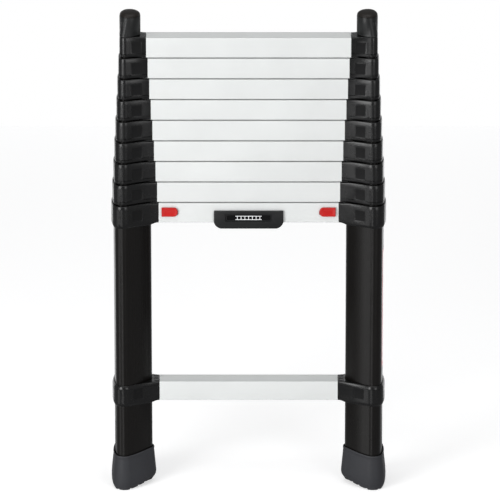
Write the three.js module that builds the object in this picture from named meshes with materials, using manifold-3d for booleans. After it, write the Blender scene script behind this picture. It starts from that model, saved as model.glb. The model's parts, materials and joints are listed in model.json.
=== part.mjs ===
// Telescoping ladder, collapsed, standing upright on its two rubber feet.
// Units are millimetres and +Z is up. X runs along the rungs and Y through the ladder's depth, with the front
// at -Y. The origin is on the floor, midway between the feet.
//
// Each stile is a nest of nine tubes of one rounded-triangle section: a broad, slightly crowned base faces
// outwards, and a rounded nose faces the rungs. A collar on the top of each tube carries one end of a rung and
// guides the next smaller tube. Everything is described for the right stile (+X); the left one is its mirror.

import * as THREE from "three";
import { mergeVertices } from "three/addons/utils/BufferGeometryUtils.js";
import Module from "manifold-3d";

// ---------------------------------------------------------------------------------- driving dimensions

const SECTIONS = 9; // nested tubes in each stile
const FULL_PITCH = 301.2; // rung to rung with a section pulled out
const STACK_PITCH = 34.2; // rung to rung in the collapsed stack
const TRAVEL = FULL_PITCH - STACK_PITCH;

const RUNG_DEPTH = 35;
const RUNG_HEIGHT = 32.6;
const RUNG_EDGE = 2.2; // radius along the rung's four long edges
const RUNG_WALL = 2;
const BOTTOM_RUNG_TOP = 177.3;
const SECOND_RUNG_TOP = BOTTOM_RUNG_TOP + FULL_PITCH;
const FIRST_RUNG_HEIGHT = 32; // the bottom rung is a little shallower

const BASE_X = 216.5; // outermost line of the largest tube
const BASE_RADIUS = 150; // crown of the tube's outward face
const NOSE_X = 155.5; // innermost line of the largest tube
const SIDE_ANGLE = THREE.MathUtils.degToRad(40); // between a slanting side and the X axis
const NOSE_RADIUS = 14;
const CORNER_RADIUS = 13;
const TUBE_WALL = 1.35;
const SECTION_INSET = 1.9; // wall plus sliding clearance, from one tube to the next
const NOSE_RADIUS_STEP = 1.1;
const CORNER_RADIUS_STEP = 1;
const TUBE_FLOOR = 6; // the largest tube ends this far above the floor, inside its foot
const SLIDING_TUBE_LENGTH = 392;

const GAP = 0.3; // between fixed neighbours
const SLIDE_GAP = 0.35; // between a collar and the tube that slides in it
const COLLAR_WALL = 3.6; // at the waist of the barrel
const COLLAR_ROUNDING = 1; // how far a collar's edges draw in from its waist
const OPEN_ROUNDING = 2.2; // and the edges that run out on the largest tube
const COLLAR_EDGE = 6; // height of that rounding
const SHOULDER = 5; // thickness of the collar's lip above the end of its tube
const RELEASE_SKIRT = 3; // the collars with the release reach this far below their rung
const CLAMP_SKIRT = 3; // and the collars of the bottom rung this far
const LUG_REACH = 12; // from the nose of a tube to the end of its rung
const LUG_ROOT = 6; // and on past the nose, into the ring
const TENON_LENGTH = 12;

const FOOT_HEIGHT = 57.5;
const CAP_WALL = 3;
const CAP_HEIGHT = 39;
const CAP_GRIP = 24; // how far the smallest tube reaches into its cap

const BUTTON_HEIGHT = 14.8;
const BUTTON_OUTER = 139; // flat end of the thumb button
const BUTTON_INNER = 113; // round end
const BUTTON_ROUNDNESS = 6;
const BUTTON_RISE = 2; // middle of the pad above the middle of the bolt
const BUTTON_PROUD = 4.2;
const BUTTON_TRAVEL = 7;
const STEM_X = 124; // middle of the button's stem at rest
const STEM_WIDTH = 8;
const STEM_HEIGHT = 5.4;
const BOLT_RADIUS = 4;
const FLANGE_RADIUS = 5.8;
const SPRING_WIRE = 0.6; // radius
const SPRING_COILS = 5;
const SPRING_SEAT = 3; // thickness of the tenon's end wall, which the spring pushes against

const GRIP_WIDTH = 111;
const GRIP_TOP = -12; // below the top of its rung
const GRIP_DROP = 9; // below the bottom of its rung
const GRIP_PROUD = 4;
const GRIP_CHAMFER = 11;
const HOOK_INSET = 2; // ends of the hook, from the chamfers
const HOOK_SHORT = 4; // back of the hook, in front of the back of the rung
const HOOK_WALL = 3; // round the finger room
const HOOK_END_WALL = 6;
const HOOK_FRONT_WALL = 1.5;
const WINDOW_WIDTH = 74;
const WINDOW_HEIGHT = 13;
const WINDOW_DEPTH = 2;
const WINDOW_TOP = 5; // below the top of the grip
const INSERT_INSET = 2.5;
const INSERT_THICKNESS = 1;

// -------------------------------------------------------------------------------------------- materials

const finish = (color, roughness, metalness) =>
  new THREE.MeshStandardMaterial({ color, roughness, metalness });
const materials = {
  stile: finish(0x1d1c1c, 0.42, 0.6),
  rung: finish(0xe6e8e9, 0.38, 0.9),
  collar: finish(0x222224, 0.5, 0),
  rubber: finish(0x3d3f43, 0.8, 0),
  cap: finish(0x262422, 0.6, 0),
  button: finish(0xd2202a, 0.35, 0),
  grip: finish(0x2c2e30, 0.5, 0),
  insert: finish(0x17181a, 0.3, 0),
  steel: finish(0xb9bcc0, 0.3, 1),
};

// -------------------------------------------------------------------------------------- joins and cuts

const wasm = await Module();
wasm.setup();

const positionsOnly = (geometry) => {
  const bare = geometry.index ? geometry.toNonIndexed() : geometry.clone();
  bare.deleteAttribute("normal");
  bare.deleteAttribute("uv");
  return mergeVertices(bare, 1e-4);
};

const solid = (geometry) => {
  const merged = positionsOnly(geometry);
  return new wasm.Manifold(
    new wasm.Mesh({
      numProp: 3,
      vertProperties: new Float32Array(merged.attributes.position.array),
      triVerts: new Uint32Array(merged.index.array),
    }),
  );
};

const geometryOf = (made) => {
  const { vertProperties, triVerts } = made.getMesh();
  const geometry = new THREE.BufferGeometry();
  geometry.setAttribute(
    "position",
    new THREE.BufferAttribute(vertProperties, 3),
  );
  geometry.setIndex(new THREE.BufferAttribute(triVerts, 1));
  geometry.computeVertexNormals();
  return geometry;
};

// The first geometry joined with the others in `join`, then cut by those in `cut`.
const carve = (first, { join = [], cut = [] }) => {
  let made = solid(first);
  for (const piece of join) made = made.add(solid(piece));
  for (const piece of cut) made = made.subtract(solid(piece));
  return geometryOf(made);
};

// -------------------------------------------------------------------------------------- basic shapes

const block = (low, high) => {
  const size = high.map((value, i) => value - low[i]);
  const middle = high.map((value, i) => (value + low[i]) / 2);
  return new THREE.BoxGeometry(...size).translate(...middle);
};

// A round bar along X.
const barX = (from, to, radius, y, z, sides = 12) =>
  new THREE.CylinderGeometry(radius, radius, Math.abs(to - from), sides)
    .rotateZ(Math.PI / 2)
    .translate((from + to) / 2, y, z);

const arc = (centre, radius, from, to, steps) =>
  Array.from({ length: steps + 1 }, (_, i) => {
    const angle = from + ((to - from) * i) / steps;
    return new THREE.Vector2(
      centre.x + radius * Math.cos(angle),
      centre.y + radius * Math.sin(angle),
    );
  });

const roundedRectangle = (width, height, radius, steps = 2) => {
  const x = width / 2 - radius;
  const y = height / 2 - radius;
  const quarter = Math.PI / 2;
  return [
    [x, y],
    [-x, y],
    [-x, -y],
    [x, -y],
  ].flatMap(([cx, cy], i) =>
    arc({ x: cx, y: cy }, radius, i * quarter, (i + 1) * quarter, steps),
  );
};

// A prism with the outline in the XY plane, standing from one height to another.
const upright = (outline, bottom, top, holes = []) => {
  const shape = new THREE.Shape(outline);
  shape.holes = holes.map((points) => new THREE.Path(points));
  return new THREE.ExtrudeGeometry(shape, {
    depth: top - bottom,
    bevelEnabled: false,
  }).translate(0, 0, bottom);
};

// A prism along X whose section is drawn with its width along Y and its height along Z.
const alongX = (outline, from, to, z, holes = []) =>
  upright(outline, from, to, holes)
    .rotateZ(Math.PI / 2)
    .rotateY(Math.PI / 2)
    .translate(0, 0, z);

// A closed skin through outlines of one point count, each at its own height, from the lowest up.
const loft = (levels) => {
  const count = levels[0].outline.length;
  const positions = levels.flatMap(({ outline, z }) =>
    outline.flatMap((point) => [point.x, point.y, z]),
  );
  const faces = [];
  for (let level = 0; level < levels.length - 1; level++)
    for (let i = 0; i < count; i++) {
      const a = level * count + i;
      const b = level * count + ((i + 1) % count);
      faces.push(a, b, b + count, a, b + count, a + count);
    }
  const topStart = (levels.length - 1) * count;
  const lid = THREE.ShapeUtils.triangulateShape(levels.at(-1).outline, []);
  const base = THREE.ShapeUtils.triangulateShape(levels[0].outline, []);
  for (const [a, b, c] of lid)
    faces.push(topStart + a, topStart + b, topStart + c);
  for (const [a, b, c] of base) faces.push(a, c, b);
  const geometry = new THREE.BufferGeometry();
  geometry.setAttribute(
    "position",
    new THREE.Float32BufferAttribute(positions, 3),
  );
  geometry.setIndex(faces);
  return geometry;
};

// -------------------------------------------------------------------------------- the stile's section

const SIDE_NORMAL = { x: -Math.sin(SIDE_ANGLE), y: -Math.cos(SIDE_ANGLE) };
const SIDE_DISTANCE = NOSE_RADIUS + SIDE_NORMAL.x * (NOSE_X + NOSE_RADIUS);
const SLIMMEST_RADIUS = 1.5;

// The rounded triangle, drawn in by `inset` from the largest tube (or out, when negative). It is a base arc, two
// slanting sides and three rounded corners, run counter-clockwise from the front end of the base.
const stileOutline = (inset, noseRadius, cornerRadius) => {
  const base = { x: BASE_X - BASE_RADIUS, radius: BASE_RADIUS - inset };
  const side = SIDE_DISTANCE - inset;
  const nose = { x: (side - noseRadius) / SIDE_NORMAL.x, y: 0 };

  // The front corner's centre is where the side's line, moved in by the radius, meets the base's circle, drawn in too.
  const line = side - cornerRadius;
  const reach = base.radius - cornerRadius;
  const along = line - SIDE_NORMAL.x * base.x;
  const across = Math.sqrt(reach * reach - along * along);
  const corner = {
    x: base.x + along * SIDE_NORMAL.x - across * SIDE_NORMAL.y,
    y: along * SIDE_NORMAL.y + across * SIDE_NORMAL.x,
  };

  const baseTilt = Math.atan2(corner.y, corner.x - base.x);
  const sideTilt = Math.atan2(SIDE_NORMAL.y, SIDE_NORMAL.x);
  const back = { x: corner.x, y: -corner.y };
  return [
    ...arc(corner, cornerRadius, sideTilt, baseTilt, 4),
    ...arc({ x: base.x, y: 0 }, base.radius, baseTilt, -baseTilt, 3).slice(1),
    ...arc(back, cornerRadius, -baseTilt, -sideTilt, 4).slice(1),
    ...arc(nose, noseRadius, -sideTilt, 2 * Math.PI + sideTilt, 5),
  ];
};

// The outside of tube 1 (largest) to SECTIONS (smallest), drawn out by `outset`.
const tubeOutline = (tube, outset = 0) => {
  const step = tube - 1;
  const radius = (largest, change) =>
    Math.max(SLIMMEST_RADIUS, largest - change * step + outset);
  return stileOutline(
    SECTION_INSET * step - outset,
    radius(NOSE_RADIUS, NOSE_RADIUS_STEP),
    radius(CORNER_RADIUS, CORNER_RADIUS_STEP),
  );
};

const lowestX = (outline) => Math.min(...outline.map((point) => point.x));
const noseX = (tube) => lowestX(tubeOutline(tube));

// ------------------------------------------------------------------------------------------- heights

// Rung 1 is at the bottom, and rung 2 to 10 are the stack. Rung n + 1 sits on the top of tube n.
const rungTop = (rung) =>
  rung === 1 ? BOTTOM_RUNG_TOP : SECOND_RUNG_TOP + (rung - 2) * STACK_PITCH;
const rungHeight = (rung) => (rung === 1 ? FIRST_RUNG_HEIGHT : RUNG_HEIGHT);
const rungBottom = (rung) => rungTop(rung) - rungHeight(rung);
const rungEnd = (rung) => noseX(Math.max(1, rung - 1)) - LUG_REACH;
const collarTop = (rung) =>
  rungBottom(rung) + (rung === 1 ? rungHeight(1) : STACK_PITCH - GAP);
// A tube ends under its collar's lip; the smallest one runs on through its collar into the cap.
const tubeTop = (tube) =>
  tube === SECTIONS
    ? collarTop(tube + 1) + CAP_GRIP
    : collarTop(tube + 1) - SHOULDER - GAP;
const boltHeight = (rung) => rungTop(rung) - RUNG_HEIGHT / 2;

// ------------------------------------------------------------------------------------------- pieces

const HOLE_SIDES = 8;
const HOLE_CLEARANCE = 0.5;

// A tube, with a hole in its nose for the bolt of the collar on its top end, and one near its lower end that the
// bolt of the collar below snaps into once the section is pulled out.
const tube = (number) => {
  const top = tubeTop(number);
  const bottom =
    number === 1
      ? TUBE_FLOOR
      : collarTop(number + 1) - SHOULDER - SLIDING_TUBE_LENGTH;
  const body = upright(tubeOutline(number), bottom, top, [
    tubeOutline(number, -TUBE_WALL),
  ]);
  const nose = noseX(number);
  const hole = (z) =>
    barX(
      nose - 2,
      nose + TUBE_WALL + 4,
      BOLT_RADIUS + HOLE_CLEARANCE,
      0,
      z,
      HOLE_SIDES,
    );
  const holes = [];
  if (number < SECTIONS) holes.push(hole(boltHeight(number + 1)));
  if (number > 1) holes.push(hole(boltHeight(number) - TRAVEL));
  return carve(body, { cut: holes });
};

const rungSection = (height, inset = 0) =>
  roundedRectangle(
    RUNG_DEPTH - 2 * inset,
    height - 2 * inset,
    Math.max(0.5, RUNG_EDGE - inset),
  );

const rungMiddle = (rung) => rungTop(rung) - rungHeight(rung) / 2;

// A hollow extrusion from lug to lug. Rung 2 has a slot in its front wall for the stem of each thumb button.
const rung = (number) => {
  const reach = rungEnd(number) - GAP;
  const height = rungHeight(number);
  const middle = rungMiddle(number);
  const body = alongX(rungSection(height), -reach, reach, middle, [
    rungSection(height, RUNG_WALL),
  ]);
  if (number !== 2) return geometryOf(solid(body));
  const slot = (side) => {
    const ends = [
      side * (STEM_X + STEM_WIDTH / 2 + HOLE_CLEARANCE),
      side * (STEM_X - STEM_WIDTH / 2 - BUTTON_TRAVEL - HOLE_CLEARANCE),
    ];
    const halfHeight = STEM_HEIGHT / 2 + HOLE_CLEARANCE;
    return block(
      [Math.min(...ends), -RUNG_DEPTH / 2 - 1, middle - halfHeight],
      [Math.max(...ends), -RUNG_DEPTH / 2 + RUNG_WALL + 1, middle + halfHeight],
    );
  };
  return carve(body, { cut: [slot(-1), slot(1)] });
};

// A collar is a barrel-shaped ring round the tube's top end and a lug that ends in a tenon inside the rung.
const collar = (number) => {
  const lower = Math.max(1, number - 1); // the tube it's fixed on
  const skirt = { 1: CLAMP_SKIRT, 2: RELEASE_SKIRT }[number] ?? 0;
  const bottom = rungBottom(number) - skirt;
  const top = collarTop(number);
  const waist = tubeOutline(lower, COLLAR_WALL);
  const edge = (isOpen) =>
    tubeOutline(lower, COLLAR_WALL - (isOpen ? OPEN_ROUNDING : COLLAR_ROUNDING));
  const ring = loft([
    { outline: edge(number <= 2), z: bottom },
    { outline: waist, z: bottom + COLLAR_EDGE },
    { outline: waist, z: top - COLLAR_EDGE },
    { outline: edge(number === 1), z: top },
  ]);
  const shoulder = rungEnd(number);
  const height = rungHeight(number);
  const middle = rungMiddle(number);
  const insideRing = noseX(lower) + LUG_ROOT;
  const lug = alongX(rungSection(height), shoulder, insideRing, middle);
  const tenonLow = shoulder - TENON_LENGTH;
  const tenon = alongX(
    rungSection(height, RUNG_WALL + GAP),
    tenonLow,
    shoulder + 1,
    middle,
  );

  const cut = [];
  const hasLip = number > 1 && number <= SECTIONS;
  const pocketTop = hasLip ? tubeTop(lower) + GAP : top + 1;
  cut.push(upright(tubeOutline(lower, GAP), bottom - 1, pocketTop));
  if (hasLip)
    cut.push(upright(tubeOutline(number, SLIDE_GAP), bottom, top + 1));
  if (number === 2) {
    const z = boltHeight(number);
    const seat = tenonLow + SPRING_SEAT;
    cut.push(barX(tenonLow - 1, seat + 1, BOLT_RADIUS + GAP, 0, z));
    cut.push(barX(seat, insideRing, FLANGE_RADIUS + GAP, 0, z));
  }
  return carve(ring, { join: [lug, tenon], cut });
};

// The rubber boot: it widens from its mouth to just above the sole, whose edge is rounded.
const FOOT_PROFILE = [
  // how far it stands out from the tube, and at what height
  [1.6, 0],
  [4.2, 2.5],
  [5.6, 8],
  [5.9, 18],
  [4.6, 36],
  [2.6, FOOT_HEIGHT - 1.5],
  [1.8, FOOT_HEIGHT],
];

const foot = () => {
  const levels = FOOT_PROFILE.map(([outset, z]) => ({
    outline: tubeOutline(1, outset),
    z,
  }));
  const pocket = upright(
    tubeOutline(1, GAP),
    TUBE_FLOOR - GAP,
    FOOT_HEIGHT + 1,
  );
  return carve(loft(levels), { cut: [pocket] });
};

// A sleeve with a domed top, pushed over the smallest tube and standing on the highest collar.
const CAP_PROFILE = [
  // how far it stands out from the smallest tube, and how high above its lower edge
  [CAP_WALL + 0.4, 0],
  [CAP_WALL + 0.4, 2],
  [CAP_WALL, 3],
  [CAP_WALL - 0.3, CAP_HEIGHT - 9],
  [CAP_WALL - 1.6, CAP_HEIGHT - 4],
  [CAP_WALL - 5, CAP_HEIGHT - 1],
  [CAP_WALL - 10, CAP_HEIGHT],
];

const cap = () => {
  const start = collarTop(SECTIONS + 1) + GAP;
  const levels = CAP_PROFILE.map(([outset, rise]) => ({
    outline: tubeOutline(SECTIONS, outset),
    z: start + rise,
  }));
  const pocket = upright(
    tubeOutline(SECTIONS, GAP),
    start - 1,
    start + CAP_GRIP,
  );
  return carve(loft(levels), { cut: [pocket] });
};

const buttonMiddle = boltHeight(2);

// The thumb button: a D-shaped pad on the rung's face, with a stem that reaches in to the bolt.
const button = () => {
  const halfHeight = BUTTON_HEIGHT / 2;
  const quarter = Math.PI / 2;
  const outline = [
    new THREE.Vector2(BUTTON_OUTER, -halfHeight),
    new THREE.Vector2(BUTTON_OUTER, halfHeight),
    ...arc(
      { x: BUTTON_INNER + BUTTON_ROUNDNESS, y: halfHeight - BUTTON_ROUNDNESS },
      BUTTON_ROUNDNESS,
      quarter,
      2 * quarter,
      4,
    ),
    ...arc(
      { x: BUTTON_INNER + BUTTON_ROUNDNESS, y: BUTTON_ROUNDNESS - halfHeight },
      BUTTON_ROUNDNESS,
      2 * quarter,
      3 * quarter,
      4,
    ),
  ];
  const face = -RUNG_DEPTH / 2 - GAP;
  const pad = upright(outline, 0, BUTTON_PROUD - GAP)
    .rotateX(Math.PI / 2)
    .translate(0, face, buttonMiddle + BUTTON_RISE);
  const stem = block(
    [STEM_X - STEM_WIDTH / 2, face - 1, buttonMiddle - STEM_HEIGHT / 2],
    [
      STEM_X + STEM_WIDTH / 2,
      -BOLT_RADIUS - GAP,
      buttonMiddle + STEM_HEIGHT / 2,
    ],
  );
  return carve(pad, { join: [stem] });
};

const boltTip = noseX(2) - SLIDE_GAP - 0.2; // just clear of the tube that slides past it
const flangeOuter = noseX(1) - 2;
const flangeInner = flangeOuter - 2.4;
const boltInner = STEM_X - STEM_WIDTH;

// The lock bolt rides with the button. Its flange is pushed outwards by the spring.
const bolt = () =>
  carve(barX(boltInner, boltTip, BOLT_RADIUS, 0, buttonMiddle), {
    join: [barX(flangeInner, flangeOuter, FLANGE_RADIUS, 0, buttonMiddle)],
  });

const spring = () => {
  const start = rungEnd(2) - TENON_LENGTH + SPRING_SEAT + GAP + SPRING_WIRE;
  const end = flangeInner - GAP - SPRING_WIRE;
  const radius = FLANGE_RADIUS - SPRING_WIRE - 0.1;
  const stepsPerCoil = 9;
  const steps = SPRING_COILS * stepsPerCoil;
  const points = Array.from({ length: steps + 1 }, (_, i) => {
    const angle = (2 * Math.PI * i) / stepsPerCoil;
    return new THREE.Vector3(
      start + ((end - start) * i) / steps,
      radius * Math.cos(angle),
      buttonMiddle + radius * Math.sin(angle),
    );
  });
  const wire = new THREE.Shape(
    arc({ x: 0, y: 0 }, SPRING_WIRE, 0, 2 * Math.PI, 6).slice(1),
  );
  return new THREE.ExtrudeGeometry(wire, {
    steps,
    bevelEnabled: false,
    extrudePath: new THREE.CatmullRomCurve3(points),
  });
};

// The centre grip: a plate on the rung's face that hooks under the rung, with a window for the insert.
const gripSize = () => {
  const top = rungTop(2) + GRIP_TOP;
  const bottom = rungBottom(2) - GRIP_DROP;
  const face = -RUNG_DEPTH / 2 - GAP - GRIP_PROUD;
  return { top, bottom, face, half: GRIP_WIDTH / 2 };
};

const grip = () => {
  const { top, bottom, face, half } = gripSize();
  const shape = [
    [-half, top],
    [-half, bottom + GRIP_CHAMFER],
    [-half + GRIP_CHAMFER, bottom],
    [half - GRIP_CHAMFER, bottom],
    [half, bottom + GRIP_CHAMFER],
    [half, top],
  ].map(([x, z]) => new THREE.Vector2(x, z));
  const plate = new THREE.ExtrudeGeometry(new THREE.Shape(shape), {
    depth: GRIP_PROUD,
    bevelEnabled: false,
  })
    .rotateX(Math.PI / 2)
    .translate(0, face + GRIP_PROUD, 0);
  const under = rungBottom(2) - GAP;
  const hookHalf = half - GRIP_CHAMFER - HOOK_INSET;
  const hook = block(
    [-hookHalf, face + GRIP_PROUD / 2, bottom],
    [hookHalf, RUNG_DEPTH / 2 - HOOK_SHORT, under],
  );
  const fingerRoom = block(
    [-hookHalf + HOOK_END_WALL, face + GRIP_PROUD + HOOK_FRONT_WALL, bottom - 1],
    [
      hookHalf - HOOK_END_WALL,
      RUNG_DEPTH / 2 - HOOK_SHORT - HOOK_WALL,
      under - HOOK_WALL,
    ],
  );
  const window = block(
    [-WINDOW_WIDTH / 2, face - 1, top - WINDOW_TOP - WINDOW_HEIGHT],
    [WINDOW_WIDTH / 2, face + WINDOW_DEPTH, top - WINDOW_TOP],
  );
  return carve(plate, { join: [hook], cut: [fingerRoom, window] });
};

const insert = () => {
  const { top, face } = gripSize();
  const halfWidth = WINDOW_WIDTH / 2 - INSERT_INSET;
  const back = face + WINDOW_DEPTH - GAP;
  return block(
    [
      -halfWidth,
      back - INSERT_THICKNESS,
      top - WINDOW_TOP - WINDOW_HEIGHT + INSERT_INSET,
    ],
    [halfWidth, back, top - WINDOW_TOP - INSERT_INSET],
  );
};

// ----------------------------------------------------------------------------------------- assembly

const ladder = new THREE.Group();
const right = new THREE.Group();
const left = new THREE.Group();
left.scale.x = -1;
ladder.add(right, left);

const place = (parent, name, geometry, material) => {
  const mesh = new THREE.Mesh(geometry, material);
  mesh.name = name;
  parent.add(mesh);
};

// The same piece on both stiles.
const placePair = (name, geometry, material) => {
  place(right, `${name}_right`, geometry, material);
  place(left, `${name}_left`, geometry, material);
};

for (let n = 1; n <= SECTIONS; n++)
  placePair(`stile_tube_${n}`, tube(n), materials.stile);
for (let n = 1; n <= SECTIONS + 1; n++) {
  placePair(`collar_${n}`, collar(n), materials.collar);
  place(ladder, `rung_${n}`, rung(n), materials.rung);
}
placePair("foot", foot(), materials.rubber);
placePair("top_cap", cap(), materials.cap);
placePair("release_button", button(), materials.button);
placePair("lock_bolt", bolt(), materials.steel);
placePair("lock_spring", spring(), materials.steel);
place(ladder, "centre_grip", grip(), materials.grip);
place(ladder, "grip_insert", insert(), materials.insert);

export default ladder;
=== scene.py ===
# %% [markdown]
# # A telescoping ladder, folded down
# Each stile of this ladder is a nest of nine black aluminium tubes. A moulded collar on the top of every
# tube carries one end of a silver rung and guides the next smaller tube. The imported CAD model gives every
# size, place and joint. This lesson builds a finer mesh over each CAD piece and gives each one a
# procedural finish.

# %% Load the frame
import json
import math

import bmesh
import bpy
from mathutils import Matrix, Vector


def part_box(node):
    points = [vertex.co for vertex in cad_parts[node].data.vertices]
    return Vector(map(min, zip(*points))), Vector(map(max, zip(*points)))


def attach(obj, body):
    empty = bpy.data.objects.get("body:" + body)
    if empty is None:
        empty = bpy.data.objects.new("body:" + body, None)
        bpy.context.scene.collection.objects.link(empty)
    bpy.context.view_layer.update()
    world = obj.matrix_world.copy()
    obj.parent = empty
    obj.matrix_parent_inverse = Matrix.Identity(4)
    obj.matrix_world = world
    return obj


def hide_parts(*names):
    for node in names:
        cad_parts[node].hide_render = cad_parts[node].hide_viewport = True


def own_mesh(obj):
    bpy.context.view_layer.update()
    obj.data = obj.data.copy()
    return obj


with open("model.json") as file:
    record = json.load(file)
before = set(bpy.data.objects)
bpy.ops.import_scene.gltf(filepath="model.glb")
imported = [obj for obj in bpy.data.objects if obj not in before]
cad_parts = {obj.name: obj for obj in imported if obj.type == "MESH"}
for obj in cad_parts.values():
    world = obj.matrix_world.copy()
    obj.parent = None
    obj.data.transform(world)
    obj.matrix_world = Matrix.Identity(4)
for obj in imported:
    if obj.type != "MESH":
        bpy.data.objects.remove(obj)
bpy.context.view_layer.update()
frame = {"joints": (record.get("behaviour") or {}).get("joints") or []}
scene = bpy.context.scene
MM = 0.001
SIDES = {"left": -1, "right": 1}

# %% [markdown]
# ## Camera and light
# The ladder is seen from straight ahead and a little above, and its stiles look parallel, so the camera
# stands far away behind a long lens. A big lens shift would also keep the stiles parallel, but it would
# push the ladder out of the picture in the views from other sides.

# %% Camera
PITCH = math.radians(18)
DISTANCE = 9.0
AIM = Vector((0.0022, 0, 0.3943))
SENSOR_MM = 36
PICTURE_WIDTH_AT_AIM = 0.801  # metres across the picture, at the ladder

camera_data = bpy.data.cameras.new("front_camera")
camera_data.sensor_width = SENSOR_MM
camera_data.lens = SENSOR_MM * DISTANCE / PICTURE_WIDTH_AT_AIM
camera = bpy.data.objects.new("front_camera", camera_data)
camera.location = AIM + DISTANCE * Vector((0, -math.cos(PITCH), math.sin(PITCH)))
camera.rotation_euler = (math.pi / 2 - PITCH, 0, 0)
scene.collection.objects.link(camera)
scene.camera = camera
print("lens, mm:", round(camera_data.lens, 1))

# %% [markdown]
# The light is that of a product table: the ladder stands on a sheet of pale acrylic that glows a little,
# in a room that is white behind and dimmer all round. The large softbox on the left is the key. It lights
# the rungs and draws the upright highlights that show how the black parts curve. The glowing floor is
# kept out of reflections, or it would turn the black parts grey. An upright face seen from above mirrors
# what is below the floor's level, so two dim cards and the back wall's lower half stand there: they draw
# soft streaks on the tubes and light nothing else.

# %% Surround
world = bpy.data.worlds.new("white_studio")
scene.world = world
world.use_nodes = True
world_nodes, world_links = world.node_tree.nodes, world.node_tree.links
room = world_nodes["Background"]
room.label = "dim room that lights the ladder"
room.inputs["Color"].default_value = (0.97, 0.98, 1, 1)
room.inputs["Strength"].default_value = 0.3
paper = world_nodes.new("ShaderNodeBackground")
paper.label = "white paper behind"
paper.location = (-220, -160)
paper.inputs["Color"].default_value = (1, 1, 1, 1)
ray_kind = world_nodes.new("ShaderNodeLightPath")
ray_kind.label = "seen directly or not"
ray_kind.location = (-220, 500)
room_or_paper = world_nodes.new("ShaderNodeMixShader")
room_or_paper.label = "paper behind, room all round"
room_or_paper.location = (120, 160)
world_links.new(ray_kind.outputs["Is Camera Ray"], room_or_paper.inputs["Fac"])
world_links.new(room.outputs["Background"], room_or_paper.inputs[1])
world_links.new(paper.outputs["Background"], room_or_paper.inputs[2])
world_links.new(room_or_paper.outputs["Shader"], world_nodes["World Output"].inputs["Surface"])
scene.view_settings.view_transform = "Standard"
print("room strength:", round(room.inputs["Strength"].default_value, 2))

# %% Floor
FLOOR_HALF = 2.0
floor_mesh = bpy.data.meshes.new("floor")
floor_corners = [(-1, -1), (1, -1), (1, 1), (-1, 1)]
floor_points = [(x * FLOOR_HALF, y * FLOOR_HALF, 0) for x, y in floor_corners]
floor_mesh.from_pydata(floor_points, [], [(0, 1, 2, 3)])
floor = bpy.data.objects.new("floor", floor_mesh)
scene.collection.objects.link(floor)
floor.visible_glossy = False

floor_material = bpy.data.materials.new("pale_floor")
floor_material.use_nodes = True
floor_shader = floor_material.node_tree.nodes["Principled BSDF"]
floor_shader.inputs["Base Color"].default_value = (0.6, 0.6, 0.6, 1)
floor_shader.inputs["Roughness"].default_value = 0.9
floor_shader.inputs["Emission Color"].default_value = (1, 1, 1, 1)
floor_shader.inputs["Emission Strength"].default_value = 0.56
floor_mesh.materials.append(floor_material)
print("floor, m:", 2 * FLOOR_HALF, "square")


# %% Light panels
def light_panel(name, place, aim, width, height, power):
    """A rectangular area light at `place` that faces `aim`."""
    data = bpy.data.lights.new(name, "AREA")
    data.shape = "RECTANGLE"
    data.size = width
    data.size_y = height
    data.energy = power
    panel = bpy.data.objects.new(name, data)
    panel.location = place
    panel.rotation_euler = (Vector(aim) - Vector(place)).to_track_quat("-Z", "Y").to_euler()
    panel.visible_camera = False
    scene.collection.objects.link(panel)


light_panel("key_softbox", (-1.5, -1.8, 0.85), (0, 0, 0.45), width=1.0, height=1.7, power=42)
light_panel("fill_softbox", (1.3, -2.35, 0.8), (0, 0, 0.4), width=0.9, height=1.6, power=15)
light_panel("top_panel", (0, -0.6, 2.6), (0, 0, 0.2), width=2.2, height=2.2, power=30)
light_panel("front_card", (-0.75, -2.28, -0.6), (0, 0, -0.6), width=0.5, height=1.2, power=4)
light_panel("side_card", (-2.12, -1.12, -0.6), (0, 0, -0.6), width=0.7, height=1.2, power=3.6)
light_panel("back_wall", (0, 2.8, 0.05), (0, 0, 0.05), width=4.0, height=1.9, power=26)

# %% [markdown]
# ## Meshes from loops
# Nearly every piece here is one outline repeated: an extrusion has the same outline at both ends, and a
# moulding has outlines that swell and shrink as they climb. So one helper joins a row of loops with
# four-sided faces. Left pieces are the right ones mirrored, and edges that turn sharply are marked sharp
# so that the rest shades smooth.

# %% Loops to mesh
SHARP_ANGLE = math.radians(34)


def skin(loops, closed=False):
    """Faces between loops of one length. A closed row wraps round, and an open one gets end faces."""
    size = len(loops[0])
    points = [tuple(point) for loop in loops for point in loop]
    faces = []
    pairs = len(loops) if closed else len(loops) - 1
    for row in range(pairs):
        here = row * size
        after = ((row + 1) % len(loops)) * size
        for i in range(size):
            k = (i + 1) % size
            faces.append((here + i, here + k, after + k, after + i))
    if not closed:
        faces.append(tuple(reversed(range(size))))
        faces.append(tuple(range((len(loops) - 1) * size, len(loops) * size)))
    return points, faces


def joined(*parts):
    """Several (points, faces) shells as one."""
    points, faces = [], []
    for part_points, part_faces in parts:
        start = len(points)
        points.extend(part_points)
        faces.extend(tuple(start + i for i in face) for face in part_faces)
    return points, faces


def shade(mesh):
    """Faces point outwards and shade smooth, except over edges that turn by more than SHARP_ANGLE."""
    work = bmesh.new()
    work.from_mesh(mesh)
    bmesh.ops.recalc_face_normals(work, faces=work.faces)
    for face in work.faces:
        face.smooth = True
    for edge in work.edges:
        if len(edge.link_faces) == 2:
            edge.smooth = edge.calc_face_angle() < SHARP_ANGLE
    work.to_mesh(mesh)
    work.free()


def mesh_object(name, shell, mirror):
    """An object from (points, faces) in millimetres."""
    points, faces = shell
    mesh = bpy.data.meshes.new(name)
    mesh.from_pydata([(x * MM * mirror, y * MM, z * MM) for x, y, z in points], [], faces)
    shade(mesh)
    made = bpy.data.objects.new(name, mesh)
    scene.collection.objects.link(made)
    return made


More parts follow.
